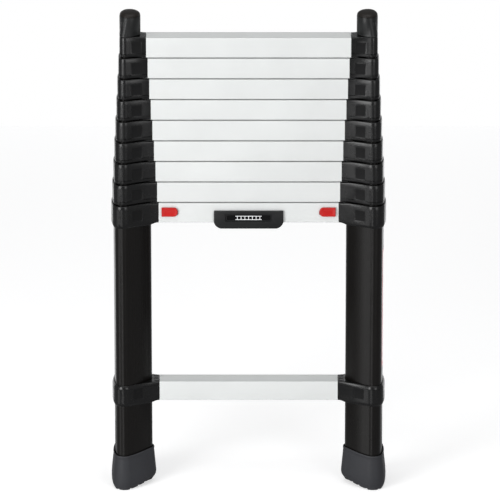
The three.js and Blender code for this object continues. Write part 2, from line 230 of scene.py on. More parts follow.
def make_piece(name, shell, material, body, stands_for, mirror=1):
    """A piece that rides on a CAD body, in place of the CAD nodes in `stands_for`."""
    piece = mesh_object(name, shell, mirror)
    piece.data.materials.append(material)
    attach(piece, body)
    if stands_for:
        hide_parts(*stands_for)
    return piece


def apply_modifiers(piece):
    """Makes a piece's modifiers part of its mesh, for good."""
    bpy.context.view_layer.update()
    evaluated = piece.evaluated_get(bpy.context.evaluated_depsgraph_get())
    result = bpy.data.meshes.new_from_object(evaluated)
    piece.modifiers.clear()
    piece.data = result
    shade(result)


print("edges turn sharp at, degrees:", round(math.degrees(SHARP_ANGLE)))


# %% Arcs and rounded edges
def arc(centre, radius, start, end, steps):
    """Points on a circle, both ends included."""
    return [
        (
            centre[0] + radius * math.cos(start + (end - start) * i / steps),
            centre[1] + radius * math.sin(start + (end - start) * i / steps),
        )
        for i in range(steps + 1)
    ]


def between(first, last, steps):
    """Points that divide a straight line, without its ends."""
    return [
        (
            first[0] + (last[0] - first[0]) * i / steps,
            first[1] + (last[1] - first[1]) * i / steps,
        )
        for i in range(1, steps)
    ]


def edge_inset(depth, radius):
    """How far a rounded edge draws its face in, at a depth below the edge."""
    if depth >= radius:
        return 0.0
    return radius - math.sqrt(radius**2 - (radius - depth) ** 2)


def smoothstep(value, low, high):
    """From 0 at `low` to 1 at `high`, with a level start and end."""
    share = min(1.0, max(0.0, (value - low) / (high - low)))
    return share * share * (3 - 2 * share)


print("a quarter of a unit circle ends at", [round(v, 3) for v in arc((0, 0), 1, 0, math.pi / 2, 8)[-1]])


# %% [markdown]
# ## The stile's section
# The section is a rounded triangle. A crowned base faces outwards, two sides slant in at 40 degrees, and
# a nose faces the rungs. The same construction as in the CAD model gives it, with many more points on its
# arcs: each corner is a circle that touches both the base's arc and the side's line. The sizes come from
# the CAD boxes.


# %% Section sizes
def box_mm(node):
    """The lowest and the highest corner of a CAD node's box, in millimetres."""
    low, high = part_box(node)
    return low / MM, high / MM


SECTIONS = 9
SIDE_ANGLE = math.radians(40)
BASE_RADIUS = 150
NOSE_RADIUS, NOSE_RADIUS_STEP = 14, 1.1
CORNER_RADIUS, CORNER_RADIUS_STEP = 13, 1
TUBE_WALL = 1.35
SIDE_CROWN = 1.7  # the sides are very slightly crowned, like the base

tube_low, tube_high = box_mm("stile_tube_1_right")
BASE_X = tube_high.x
NOSE_X = tube_low.x
SECTION_INSET = (BASE_X - box_mm("stile_tube_9_right")[1].x) / (SECTIONS - 1)
SIDE_NORMAL = (-math.sin(SIDE_ANGLE), -math.cos(SIDE_ANGLE))
SIDE_DISTANCE = NOSE_RADIUS + SIDE_NORMAL[0] * (NOSE_X + NOSE_RADIUS)
print("largest tube, mm:", round(BASE_X - NOSE_X, 1), "wide; inset per section", round(SECTION_INSET, 2))


# %% Section outline
def section_frame(tube, outset):
    """Centres, radii and angles of the arcs of a tube's outline, drawn out by `outset` millimetres."""
    step = tube - 1
    inset = SECTION_INSET * step - outset
    nose_radius = NOSE_RADIUS - NOSE_RADIUS_STEP * step + outset
    corner_radius = CORNER_RADIUS - CORNER_RADIUS_STEP * step + outset
    base_centre = BASE_X - BASE_RADIUS
    base_radius = BASE_RADIUS - inset
    side = SIDE_DISTANCE - inset
    along = side - corner_radius - SIDE_NORMAL[0] * base_centre
    across = math.sqrt((base_radius - corner_radius) ** 2 - along**2)
    corner = (
        base_centre + along * SIDE_NORMAL[0] - across * SIDE_NORMAL[1],
        along * SIDE_NORMAL[1] + across * SIDE_NORMAL[0],
    )
    return {
        "base": (base_centre, 0),
        "base_radius": base_radius,
        "corner": corner,
        "corner_radius": corner_radius,
        "nose": ((side - nose_radius) / SIDE_NORMAL[0], 0),
        "nose_radius": nose_radius,
        "base_tilt": math.atan2(corner[1], corner[0] - base_centre),
    }


SIDE_TILT = math.atan2(SIDE_NORMAL[1], SIDE_NORMAL[0])
NOSE_STEPS, SIDE_STEPS, CORNER_STEPS, BASE_STEPS = 14, 12, 14, 12


def crowned(first, last, steps):
    """Points along a slanting side, without its ends, bowed out by SIDE_CROWN in the middle."""
    bowed = []
    for i, (x, y) in enumerate(between(first, last, steps)):
        share = (i + 1) / steps
        bow = 4 * SIDE_CROWN * share * (1 - share)
        bowed.append((x + SIDE_NORMAL[0] * bow, y + SIDE_NORMAL[1] * bow))
    return bowed


def mirrored_front(front):
    """The whole outline from its front half, which runs from the nose to the middle of the base."""
    return front + [(x, -y) for x, y in reversed(front)]


def base_half(f, start=SIDE_TILT):
    """From the side's tangent point round the front corner to the middle of the base."""
    corner = arc(f["corner"], f["corner_radius"], start, f["base_tilt"], CORNER_STEPS)
    base = arc(f["base"], f["base_radius"], f["base_tilt"], 0, BASE_STEPS)
    return corner + base[1:-1]


def section(tube, outset=0.0, nose_steps=NOSE_STEPS, side_steps=SIDE_STEPS):
    """The fine outline of a tube, drawn out by `outset` millimetres."""
    f = section_frame(tube, outset)
    half_step = (SIDE_TILT + math.pi) / (2 * nose_steps + 1)
    nose = arc(f["nose"], f["nose_radius"], -math.pi + half_step, SIDE_TILT, nose_steps)
    rest = base_half(f)
    front = nose + crowned(nose[-1], rest[0], side_steps) + rest
    return mirrored_front(front)


def at_height(outline, z):
    """A flat outline as a level loop."""
    return [(x, y, z) for x, y in outline]


print("points in a section:", len(section(1)))

# %% [markdown]
# ## Finishes
# The tubes and rungs are extruded aluminium. Drawing it through a die leaves faint lines along its
# length, and anodising evens out its gloss. One function makes both: the black tubes and the silver rungs
# differ in colour, in how metallic the oxide layer looks and in which way the die lines run. The lines
# are noise stretched along the extrusion. They move the roughness a little and the bump very little, and
# a coarse noise stands for handling.


# %% Anodised aluminium
GLOSS_DIP, GLOSS_LIFT = 0.05, 0.06
OXIDE_DARKER, OXIDE_LIGHTER = 0.93, 1.05
MARK_STRETCH = 2.2  # of the rubbed marks, against that of the die lines


def anodised_aluminium(name, colour, metallic, specular, roughness, line_scale, wear_colour, wear):
    material = bpy.data.materials.new(name)
    material.use_nodes = True
    tree = material.node_tree
    nodes, links = tree.nodes, tree.links
    shader = nodes["Principled BSDF"]
    shader.location = (700, 0)
    shader.inputs["Metallic"].default_value = metallic
    shader.inputs["Specular IOR Level"].default_value = specular

    place = nodes.new("ShaderNodeTexCoord")
    place.label = "place on the ladder"
    place.location = (-1300, 0)

    line_frame = nodes.new("NodeFrame")
    line_frame.label = "die lines along the extrusion"
    stretch = nodes.new("ShaderNodeMapping")
    stretch.label = "stretch along the extrusion"
    stretch.location = (-1080, 150)
    stretch.inputs["Scale"].default_value = line_scale
    die_lines = nodes.new("ShaderNodeTexNoise")
    die_lines.label = "fine die lines"
    die_lines.location = (-860, 150)
    die_lines.inputs["Scale"].default_value = 1.0
    die_lines.inputs["Detail"].default_value = 3
    line_bump = nodes.new("ShaderNodeBump")
    line_bump.label = "die lines as relief"
    line_bump.location = (400, -300)
    line_bump.inputs["Strength"].default_value = 0.12
    line_bump.inputs["Distance"].default_value = 0.0001
    for node in (stretch, die_lines, line_bump):
        node.parent = line_frame

    handling_frame = nodes.new("NodeFrame")
    handling_frame.label = "uneven gloss from handling"
    handling = nodes.new("ShaderNodeTexNoise")
    handling.label = "soft patches"
    handling.location = (-860, -150)
    handling.inputs["Scale"].default_value = 14
    handling.inputs["Detail"].default_value = 4
    gloss_mix = nodes.new("ShaderNodeMath")
    gloss_mix.label = "lines and patches together"
    gloss_mix.operation = "ADD"
    gloss_mix.location = (-600, 0)
    gloss_range = nodes.new("ShaderNodeMapRange")
    gloss_range.label = "small swing about the gloss"
    gloss_range.location = (-380, 0)
    gloss_range.inputs["From Min"].default_value = 0.6
    gloss_range.inputs["From Max"].default_value = 1.4
    gloss_range.inputs["To Min"].default_value = roughness - GLOSS_DIP
    gloss_range.inputs["To Max"].default_value = roughness + GLOSS_LIFT
    for node in (handling, gloss_mix, gloss_range):
        node.parent = handling_frame

    colour_frame = nodes.new("NodeFrame")
    colour_frame.label = "oxide colour and rubbed marks"
    drift = nodes.new("ShaderNodeMix")
    drift.label = "slight drift of the oxide colour"
    drift.data_type = "RGBA"
    drift.location = (-120, 260)
    drift.inputs["A"].default_value = (*[c * OXIDE_DARKER for c in colour], 1)
    drift.inputs["B"].default_value = (*[c * OXIDE_LIGHTER for c in colour], 1)
    scratch_stretch = nodes.new("ShaderNodeMapping")
    scratch_stretch.label = "long thin marks"
    scratch_stretch.location = (-1080, 480)
    scratch_stretch.inputs["Scale"].default_value = [s * MARK_STRETCH for s in line_scale]
    scratch_noise = nodes.new("ShaderNodeTexNoise")
    scratch_noise.label = "where it was rubbed"
    scratch_noise.location = (-860, 480)
    scratch_noise.inputs["Scale"].default_value = 0.6
    scratch_noise.inputs["Detail"].default_value = 6
    scratch_ramp = nodes.new("ShaderNodeValToRGB")
    scratch_ramp.label = "only the sharpest peaks"
    scratch_ramp.location = (-600, 480)
    scratch_ramp.color_ramp.elements[0].position = 0.68
    scratch_ramp.color_ramp.elements[1].position = 0.78
    scratch_amount = nodes.new("ShaderNodeMath")
    scratch_amount.label = "how strong the marks are"
    scratch_amount.operation = "MULTIPLY"
    scratch_amount.location = (-320, 480)
    scratch_amount.inputs[1].default_value = wear
    rubbed = nodes.new("ShaderNodeMix")
    rubbed.label = "marks over the oxide"
    rubbed.data_type = "RGBA"
    rubbed.location = (160, 360)
    rubbed.inputs["B"].default_value = (*wear_colour, 1)
    for node in (drift, scratch_stretch, scratch_noise, scratch_ramp, scratch_amount, rubbed):
        node.parent = colour_frame

    links.new(place.outputs["Object"], stretch.inputs["Vector"])
    links.new(stretch.outputs["Vector"], die_lines.inputs["Vector"])
    links.new(place.outputs["Object"], handling.inputs["Vector"])
    links.new(die_lines.outputs["Fac"], gloss_mix.inputs[0])
    links.new(handling.outputs["Fac"], gloss_mix.inputs[1])
    links.new(gloss_mix.outputs["Value"], gloss_range.inputs["Value"])
    links.new(gloss_range.outputs["Result"], shader.inputs["Roughness"])
    links.new(handling.outputs["Fac"], drift.inputs["Factor"])
    links.new(place.outputs["Object"], scratch_stretch.inputs["Vector"])
    links.new(scratch_stretch.outputs["Vector"], scratch_noise.inputs["Vector"])
    links.new(scratch_noise.outputs["Fac"], scratch_ramp.inputs["Fac"])
    links.new(scratch_ramp.outputs["Color"], scratch_amount.inputs[0])
    links.new(scratch_amount.outputs["Value"], rubbed.inputs["Factor"])
    links.new(drift.outputs["Result"], rubbed.inputs["A"])
    links.new(rubbed.outputs["Result"], shader.inputs["Base Color"])
    links.new(die_lines.outputs["Fac"], line_bump.inputs["Height"])
    links.new(line_bump.outputs["Normal"], shader.inputs["Normal"])
    return material


black_tube = anodised_aluminium(
    "black_anodised_tube",
    colour=(0.0028, 0.0022, 0.0018),
    metallic=0.0,
    specular=0.3,
    roughness=0.29,
    line_scale=(2200, 2200, 6),
    wear_colour=(0.05, 0.048, 0.046),
    wear=0.25,
)
silver_rung = anodised_aluminium(
    "silver_anodised_rung",
    colour=(0.605, 0.618, 0.612),
    metallic=0.15,
    specular=0.4,
    roughness=0.5,
    line_scale=(5, 1700, 1700),
    wear_colour=(0.75, 0.76, 0.78),
    wear=0.3,
)
print("aluminium:", black_tube.name, silver_rung.name)

# %% [markdown]
# Collars, caps and the grip are moulded from filled nylon. The mould's spark-eroded steel leaves a fine
# even grain, and the edges that hands and floors touch go a little lighter. Cycles knows which points
# are on an edge from the Pointiness output of the Geometry node. The rubber feet use the same make-up
# with a coarser grain, more roughness and more dust.


# %% Moulded plastic and rubber
GLOSS_SWING = 0.06
DRIFT_DARKER, DRIFT_LIGHTER = 0.9, 1.12


def moulded(name, colour, specular, roughness, grain_scale, grain_depth, edge_colour, edge_wear):
    material = bpy.data.materials.new(name)
    material.use_nodes = True
    tree = material.node_tree
    nodes, links = tree.nodes, tree.links
    shader = nodes["Principled BSDF"]
    shader.location = (700, 0)
    shader.inputs["Specular IOR Level"].default_value = specular

    place = nodes.new("ShaderNodeTexCoord")
    place.label = "place on the ladder"
    place.location = (-1100, 0)

    grain_frame = nodes.new("NodeFrame")
    grain_frame.label = "grain of the mould"
    grain = nodes.new("ShaderNodeTexNoise")
    grain.label = "spark-eroded grain"
    grain.location = (-860, -320)
    grain.inputs["Scale"].default_value = grain_scale
    grain.inputs["Detail"].default_value = 2
    grain_bump = nodes.new("ShaderNodeBump")
    grain_bump.label = "grain as relief"
    grain_bump.location = (400, -320)
    grain_bump.inputs["Strength"].default_value = 0.35
    grain_bump.inputs["Distance"].default_value = grain_depth
    for node in (grain, grain_bump):
        node.parent = grain_frame

    gloss_frame = nodes.new("NodeFrame")
    gloss_frame.label = "uneven gloss"
    patches = nodes.new("ShaderNodeTexNoise")
    patches.label = "flow and fingerprints"
    patches.location = (-860, -40)
    patches.inputs["Scale"].default_value = 28
    patches.inputs["Detail"].default_value = 5
    gloss_range = nodes.new("ShaderNodeMapRange")
    gloss_range.label = "swing about the gloss"
    gloss_range.location = (-380, -40)
    gloss_range.inputs["From Min"].default_value = 0.3
    gloss_range.inputs["From Max"].default_value = 0.7
    gloss_range.inputs["To Min"].default_value = roughness - GLOSS_SWING
    gloss_range.inputs["To Max"].default_value = roughness + GLOSS_SWING
    for node in (patches, gloss_range):
        node.parent = gloss_frame

    edge_frame = nodes.new("NodeFrame")
    edge_frame.label = "edges rubbed by hands and floors"
    shape = nodes.new("ShaderNodeNewGeometry")
    shape.label = "which points are on an edge"
    shape.location = (-860, 320)
    edge_ramp = nodes.new("ShaderNodeValToRGB")
    edge_ramp.label = "keep the edges only"
    edge_ramp.location = (-620, 320)
    edge_ramp.color_ramp.elements[0].position = 0.53
    edge_ramp.color_ramp.elements[1].position = 0.6
    edge_break = nodes.new("ShaderNodeMath")
    edge_break.label = "broken up by the patches"
    edge_break.operation = "MULTIPLY"
    edge_break.location = (-320, 320)
    edge_amount = nodes.new("ShaderNodeMath")
    edge_amount.label = "how worn the edges are"
    edge_amount.operation = "MULTIPLY"
    edge_amount.location = (-120, 320)
    edge_amount.inputs[1].default_value = edge_wear
    for node in (shape, edge_ramp, edge_break, edge_amount):
        node.parent = edge_frame

    colour_frame = nodes.new("NodeFrame")
    colour_frame.label = "colour of the moulding"
    drift = nodes.new("ShaderNodeMix")
    drift.label = "slight drift of the colour"
    drift.data_type = "RGBA"
    drift.location = (-120, 120)
    drift.inputs["A"].default_value = (*[c * DRIFT_DARKER for c in colour], 1)
    drift.inputs["B"].default_value = (*[c * DRIFT_LIGHTER for c in colour], 1)
    worn = nodes.new("ShaderNodeMix")
    worn.label = "lighter edges over the colour"
    worn.data_type = "RGBA"
    worn.location = (160, 200)
    worn.inputs["B"].default_value = (*edge_colour, 1)
    for node in (drift, worn):
        node.parent = colour_frame

    links.new(place.outputs["Object"], grain.inputs["Vector"])
    links.new(grain.outputs["Fac"], grain_bump.inputs["Height"])
    links.new(grain_bump.outputs["Normal"], shader.inputs["Normal"])
    links.new(place.outputs["Object"], patches.inputs["Vector"])
    links.new(patches.outputs["Fac"], gloss_range.inputs["Value"])
    links.new(gloss_range.outputs["Result"], shader.inputs["Roughness"])
    links.new(patches.outputs["Fac"], drift.inputs["Factor"])
    links.new(shape.outputs["Pointiness"], edge_ramp.inputs["Fac"])
    links.new(edge_ramp.outputs["Color"], edge_break.inputs[0])
    links.new(patches.outputs["Fac"], edge_break.inputs[1])
    links.new(edge_break.outputs["Value"], edge_amount.inputs[0])
    links.new(edge_amount.outputs["Value"], worn.inputs["Factor"])
    links.new(drift.outputs["Result"], worn.inputs["A"])
    links.new(worn.outputs["Result"], shader.inputs["Base Color"])
    return material


collar_nylon = moulded(
    "collar_nylon",
    colour=(0.0042, 0.0042, 0.0043),
    specular=0.34,
    roughness=0.26,
    grain_scale=1500,
    grain_depth=0.0001,
    edge_colour=(0.03, 0.03, 0.03),
    edge_wear=0.4,
)
panel_nylon = moulded(
    "panel_nylon",
    colour=(0.0042, 0.0042, 0.0044),
    specular=0.15,
    roughness=0.62,
    grain_scale=900,
    grain_depth=0.0003,
    edge_colour=(0.01, 0.01, 0.01),
    edge_wear=0.2,
)
cap_nylon = moulded(
    "cap_nylon",
    colour=(0.0085, 0.009, 0.009),
    specular=0.27,
    roughness=0.4,
    grain_scale=1500,
    grain_depth=0.0001,
    edge_colour=(0.04, 0.04, 0.04),
    edge_wear=0.4,
)
dome_nylon = moulded(
    "dome_nylon",
    colour=(0.0085, 0.0065, 0.0052),
    specular=0.25,
    roughness=0.5,
    grain_scale=1500,
    grain_depth=0.00012,
    edge_colour=(0.04, 0.035, 0.03),
    edge_wear=0.4,
)
grip_nylon = moulded(
    "grip_nylon",
    colour=(0.0075, 0.0077, 0.0082),
    specular=0.27,
    roughness=0.42,
    grain_scale=1500,
    grain_depth=0.0001,
    edge_colour=(0.06, 0.06, 0.06),
    edge_wear=0.6,
)
foot_rubber = moulded(
    "foot_rubber",
    colour=(0.0225, 0.0232, 0.0268),
    specular=0.33,
    roughness=0.6,
    grain_scale=700,
    grain_depth=0.0003,
    edge_colour=(0.06, 0.06, 0.065),
    edge_wear=0.6,
)
red_plastic = moulded(
    "red_plastic",
    colour=(0.4, 0.007, 0.006),
    specular=0.3,
    roughness=0.3,
    grain_scale=1200,
    grain_depth=0.00005,
    edge_colour=(0.5, 0.05, 0.045),
    edge_wear=0.4,
)
insert_gloss = moulded(
    "insert_gloss",
    colour=(0.0015, 0.0015, 0.0018),
    specular=0.18,
    roughness=0.22,
    grain_scale=600,
    grain_depth=0.00002,
    edge_colour=(0.02, 0.02, 0.02),
    edge_wear=0.3,
)
white_ink = moulded(
    "white_ink",
    colour=(0.75, 0.76, 0.77),
    specular=0.4,
    roughness=0.4,
    grain_scale=800,
    grain_depth=0.00002,
    edge_colour=(0.8, 0.8, 0.8),
    edge_wear=0.1,
)
label_film = moulded(
    "label_film",
    colour=(0.72, 0.71, 0.7),
    specular=0.5,
    roughness=0.25,
    grain_scale=300,
    grain_depth=0.00002,
    edge_colour=(0.6, 0.6, 0.6),
    edge_wear=0.2,
)
label_border = moulded(
    "label_border",
    colour=(0.55, 0.03, 0.035),
    specular=0.5,
    roughness=0.25,
    grain_scale=300,
    grain_depth=0.00002,
    edge_colour=(0.6, 0.2, 0.2),
    edge_wear=0.2,
)
print("mouldings:", len(bpy.data.materials))

# %% [markdown]
# The lock bolts and springs are zinc-plated steel: a bright bare metal, with small dull marks in its
# plating that come from a fine noise on the roughness.

# %% Plated steel
plated_steel = bpy.data.materials.new("plated_steel")
plated_steel.use_nodes = True
steel_nodes, steel_links = plated_steel.node_tree.nodes, plated_steel.node_tree.links
steel_shader = steel_nodes["Principled BSDF"]
steel_shader.inputs["Base Color"].default_value = (0.62, 0.63, 0.65, 1)
steel_shader.inputs["Metallic"].default_value = 1.0
steel_place = steel_nodes.new("ShaderNodeTexCoord")
steel_place.label = "place on the ladder"
steel_place.location = (-900, 0)
plating_frame = steel_nodes.new("NodeFrame")
plating_frame.label = "uneven gloss of the plating"
plating = steel_nodes.new("ShaderNodeTexNoise")
plating.label = "marks in the plating"
plating.location = (-680, 0)
plating.inputs["Scale"].default_value = 900
plating_range = steel_nodes.new("ShaderNodeMapRange")
plating_range.label = "bright with small dull marks"
plating_range.location = (-440, 0)
plating_range.inputs["To Min"].default_value = 0.2
plating_range.inputs["To Max"].default_value = 0.42
for node in (plating, plating_range):
    node.parent = plating_frame
steel_links.new(steel_place.outputs["Object"], plating.inputs["Vector"])
steel_links.new(plating.outputs["Fac"], plating_range.inputs["Value"])
steel_links.new(plating_range.outputs["Result"], steel_shader.inputs["Roughness"])
print("finishes:", [material.name for material in bpy.data.materials])

# %% [markdown]
# ## Stile tubes
# Each tube is one closed row of eight loops: up the outside, over a tiny chamfer at the saw cut, down the
# inside and back. The holes for the lock bolts are cut with a Boolean modifier, which is then applied so
# that no cutting tool is left in the scene.

# %% Tubes
SAW_CHAMFER = 0.3
BOLT_HOLE_RADIUS = 4.5
DRILL_START, DRILL_DEPTH = 3, 5  # from outside the nose to well inside the tube
ROUND_SIDES = 32  # of a drill or a bolt


def tube_shell(number, low, high):
    """A tube between two heights, with its saw cuts chamfered."""
    chamfer = SAW_CHAMFER
    rows = [
        (0, low + chamfer),
        (0, high - chamfer),
        (-chamfer, high),
        (chamfer - TUBE_WALL, high),
        (-TUBE_WALL, high - chamfer),
        (-TUBE_WALL, low + chamfer),
        (chamfer - TUBE_WALL, low),
        (-chamfer, low),
    ]
    return skin([at_height(section(number, outset), z) for outset, z in rows], closed=True)


def cut_with(piece, cutter_shell, mirror=1):
    """Takes a closed (points, faces) shell out of a piece, for good."""
    cutter = mesh_object("cutter", cutter_shell, mirror)
    cut = piece.modifiers.new("cut", "BOOLEAN")
    cut.object = cutter
    cut.solver = "EXACT"
    apply_modifiers(piece)
    bpy.data.objects.remove(cutter)


def full_circle(centre, radius, sides):
    """Points all round a circle, none of them twice."""
    return arc(centre, radius, 0, 2 * math.pi * (1 - 1 / sides), sides - 1)


def drill_shell(start, end, z):
    """A round bar along X, as thick as a lock hole."""
    ring = full_circle((0, z), BOLT_HOLE_RADIUS, ROUND_SIDES)
    return skin([[(x, y, height) for y, height in ring] for x in (start, end)])


def rung_middle_z(rung):
    low, high = box_mm(f"rung_{rung}")
    return (low.z + high.z) / 2


def joint_travel(name):
    """How far a sliding joint moves, in millimetres."""
    joint = next(joint for joint in frame["joints"] if joint["name"] == name)
    return joint["range_m"][1] / MM


TRAVEL = joint_travel("section_2_slide")


def body_of_tube(number):
    return "lower_frame" if number == 1 else f"section_{number}"


def body_of_rung(number):
    return "lower_frame" if number <= 2 else f"section_{number - 1}"


for number in range(1, SECTIONS + 1):
    low, high = box_mm(f"stile_tube_{number}_right")
    holes = []
    if number < SECTIONS:
        holes.append(rung_middle_z(number + 1))
    if number > 1:
        holes.append(rung_middle_z(number) - TRAVEL)
    for side, mirror in SIDES.items():
        tube = make_piece(
            f"tube_{number}_{side}",
            tube_shell(number, low.z, high.z),
            black_tube,
            body_of_tube(number),
            [f"stile_tube_{number}_{side}"],
            mirror,
        )
        drills = [drill_shell(low.x - DRILL_START, low.x + DRILL_DEPTH, z) for z in holes]
        cut_with(tube, joined(*drills), mirror)
print("tubes:", 2 * SECTIONS)

# %% [markdown]
# ## Rungs
# A rung is a hollow extrusion with rounded edges and a tread of fine grooves. Its outline is drawn once,
# with the grooves as short V-shaped dips in the top line, and an inner outline with the same number of
# points lies a wall's thickness inside it.

# %% Rungs
RUNG_EDGE = 1.5
RUNG_WALL = 2.0
GROOVES = 9
GROOVE_SPACING = 2.8
GROOVE_WIDTH = 0.9
GROOVE_DEPTH = 0.35
GROOVE_FLOOR_HALF = 0.15  # as a share of the groove's width
EDGE_STEPS = 6
INNER_CORNER = 0.5
INNER_SPREAD = 0.85  # the inner top's points stand closer together than the grooves
quarter = math.pi / 2


def rung_outlines(depth, height):
    """Outer and inner outline as (y, z) about the rung's middle, with matching points."""
    y, z = depth / 2, height / 2
    groove_offsets = [(-0.5, 0), (-GROOVE_FLOOR_HALF, 1), (GROOVE_FLOOR_HALF, 1), (0.5, 0)]
    top = []
    for i in range(GROOVES):
        middle = (i - (GROOVES - 1) / 2) * GROOVE_SPACING
        for across, share in groove_offsets:
            top.append((-(middle + across * GROOVE_WIDTH), z - share * GROOVE_DEPTH))
    top.sort(key=lambda point: -point[0])

    def corners(radius, inset):
        cy, cz = y - inset - radius, z - inset - radius
        centres = [(cy, cz), (-cy, cz), (-cy, -cz), (cy, -cz)]
        return [
            arc(centre, radius, i * quarter, (i + 1) * quarter, EDGE_STEPS)
            for i, centre in enumerate(centres)
        ]

    outer_corners = corners(RUNG_EDGE, 0)
    inner_corners = corners(INNER_CORNER, RUNG_WALL)
    outer = outer_corners[0] + top + outer_corners[1] + outer_corners[2] + outer_corners[3]
    inner_top = [(across * INNER_SPREAD, z - RUNG_WALL) for across, _ in top]
    inner = inner_corners[0] + inner_top + inner_corners[1] + inner_corners[2] + inner_corners[3]
    return outer, inner


def rung_shell(node):
    """The hollow extrusion that fills a CAD rung's box."""
    low, high = box_mm(node)
    outer, inner = rung_outlines(high.y - low.y, high.z - low.z)
    middle = (low.z + high.z) / 2
    rows = [(outer, low.x), (outer, high.x), (inner, high.x), (inner, low.x)]
    return skin([[(x, y, middle + z) for y, z in outline] for outline, x in rows], closed=True)


rungs = {}
for number in range(1, SECTIONS + 2):
    rungs[number] = make_piece(
        f"rung_{number}_extrusion",
        rung_shell(f"rung_{number}"),
        silver_rung,
        body_of_rung(number),
        [f"rung_{number}"],
    )
print("rungs:", len(rungs), "of", round(box_mm("rung_10")[1].x * 2), "mm at most")

# %% [markdown]
# ## Collars
# Seen from above, a collar is a ring round the tube and a lug as deep as the rung. A nearly straight,
# slightly hollow face runs from the lug's corner to the ridge where the ring turns outwards. The outline
# is repeated from the bottom edge to the top one. On the way it swells to a waist, as a barrel does, its
# edges are rounded, and a shallow panel is sunk in each slanting face. The heights vary round the outline
# too: the ring's skirt and lip reach further than the lug's. Inside, the row of loops carries on down the
# bore, over the shoulder that rests on the tube's end, and back to the bottom.

# %% Collar sizes
COLLAR_WALL = 3.6
WAIST_ROUNDING = 0.7
OPEN_ROUNDING = 2.2
WAIST_HEIGHT = 6.0
RING_EDGE = 0.8
SLIDE_GAP = 0.35
TUBE_GAP = 0.3
SHOULDER = 5.0
HOLLOW_TILT = 0.14  # radians that a collar's face leans more at the ridge than at its middle
PANEL_INNER, PANEL_OUTER = 169.0, 186.0  # the panel's sides, the same on every collar
PANEL_DEPTH = 0.35
PANEL_HEIGHT = 17.0
PANEL_SLOPE = 1.0  # width of the panel's sloping sides
PANEL_RISE = 2.0  # height of the slopes above and below it
LUG_STEPS, RIDGE_STEPS = 12, 6  # from the lug's end to the panel, and from there to the ridge
SEAM_GAP = 1.5  # between a collar and the one above it, at the edges that show
BORE_CHAMFER = 0.8
CLOSED_CHAMFER = 0.4  # of a bore with no tube to guide
RING_START, RING_FULL = 3, 4  # past the lug's end and past the nose, where the ring's extra height sets in
print("a collar's wall, mm:", COLLAR_WALL)

# %% Collar outline
PANEL_STEPS = 6
PANEL_STATIONS = [PANEL_INNER, PANEL_INNER + PANEL_SLOPE]
for i in range(1, PANEL_STEPS):
    PANEL_STATIONS.append(PANEL_INNER + (PANEL_OUTER - PANEL_INNER) * i / PANEL_STEPS)
PANEL_STATIONS += [PANEL_OUTER - PANEL_SLOPE, PANEL_OUTER]
COLLAR_FRONT_POINTS = LUG_STEPS + len(PANEL_STATIONS) + RIDGE_STEPS - 1


def face_tilt(corner, radius, lug):
    """Where a straight face looks that runs from the lug's corner to touch the ridge's circle."""
    away_x, away_y = lug[0] - corner[0], lug[1] - corner[1]
    turn = math.acos(radius / math.hypot(away_x, away_y))
    return (math.atan2(away_y, away_x) + turn + math.pi) % (2 * math.pi) - math.pi


def collar_outline(tube, outset, lug_depth, lug_end, sink=0.0):
    """Outline of ring and lug at one level; `sink` presses the panel into the front."""
    f = section_frame(tube, outset)
    lug = (lug_end, -lug_depth)
    start = face_tilt(f["corner"], f["corner_radius"], lug) - HOLLOW_TILT
    rest = base_half(f, start)
    ridge = rest[0]
    hollow = HOLLOW_TILT * math.dist(lug, ridge) / 4
    stations = [lug_end + (PANEL_INNER - lug_end) * i / LUG_STEPS for i in range(LUG_STEPS)]
    stations += PANEL_STATIONS
    stations += [PANEL_OUTER + (ridge[0] - PANEL_OUTER) * i / RIDGE_STEPS for i in range(1, RIDGE_STEPS)]
    face = []
    for i, x in enumerate(stations):
        share = (x - lug_end) / (ridge[0] - lug_end)
        y = lug[1] + (ridge[1] - lug[1]) * share + 4 * hollow * share * (1 - share)
        if LUG_STEPS < i < LUG_STEPS + len(PANEL_STATIONS) - 1:
            y += sink
        face.append((x, y))
    return mirrored_front(face + rest)


BORE_NOSE_STEPS = 12


def bore_outline(tube, outset):
    """The section with as many points as a collar's outline, in the same order."""
    return section(tube, outset, BORE_NOSE_STEPS, COLLAR_FRONT_POINTS - BORE_NOSE_STEPS)


COLLAR_POINTS = len(bore_outline(1, 0))
print("points round a collar:", COLLAR_POINTS)


# %% Collar levels
EDGE_DEPTHS = (0, 0.15, 0.4, 0.8, 1.4, 2.2, 3.4, 4.8, WAIST_HEIGHT)


def ring_outset(depth, rounding):
    """The ring's wall at a depth below one of its edges."""
    share = max(0.0, 1 - depth / WAIST_HEIGHT)
    return COLLAR_WALL - rounding * share**2 - edge_inset(depth, RING_EDGE)


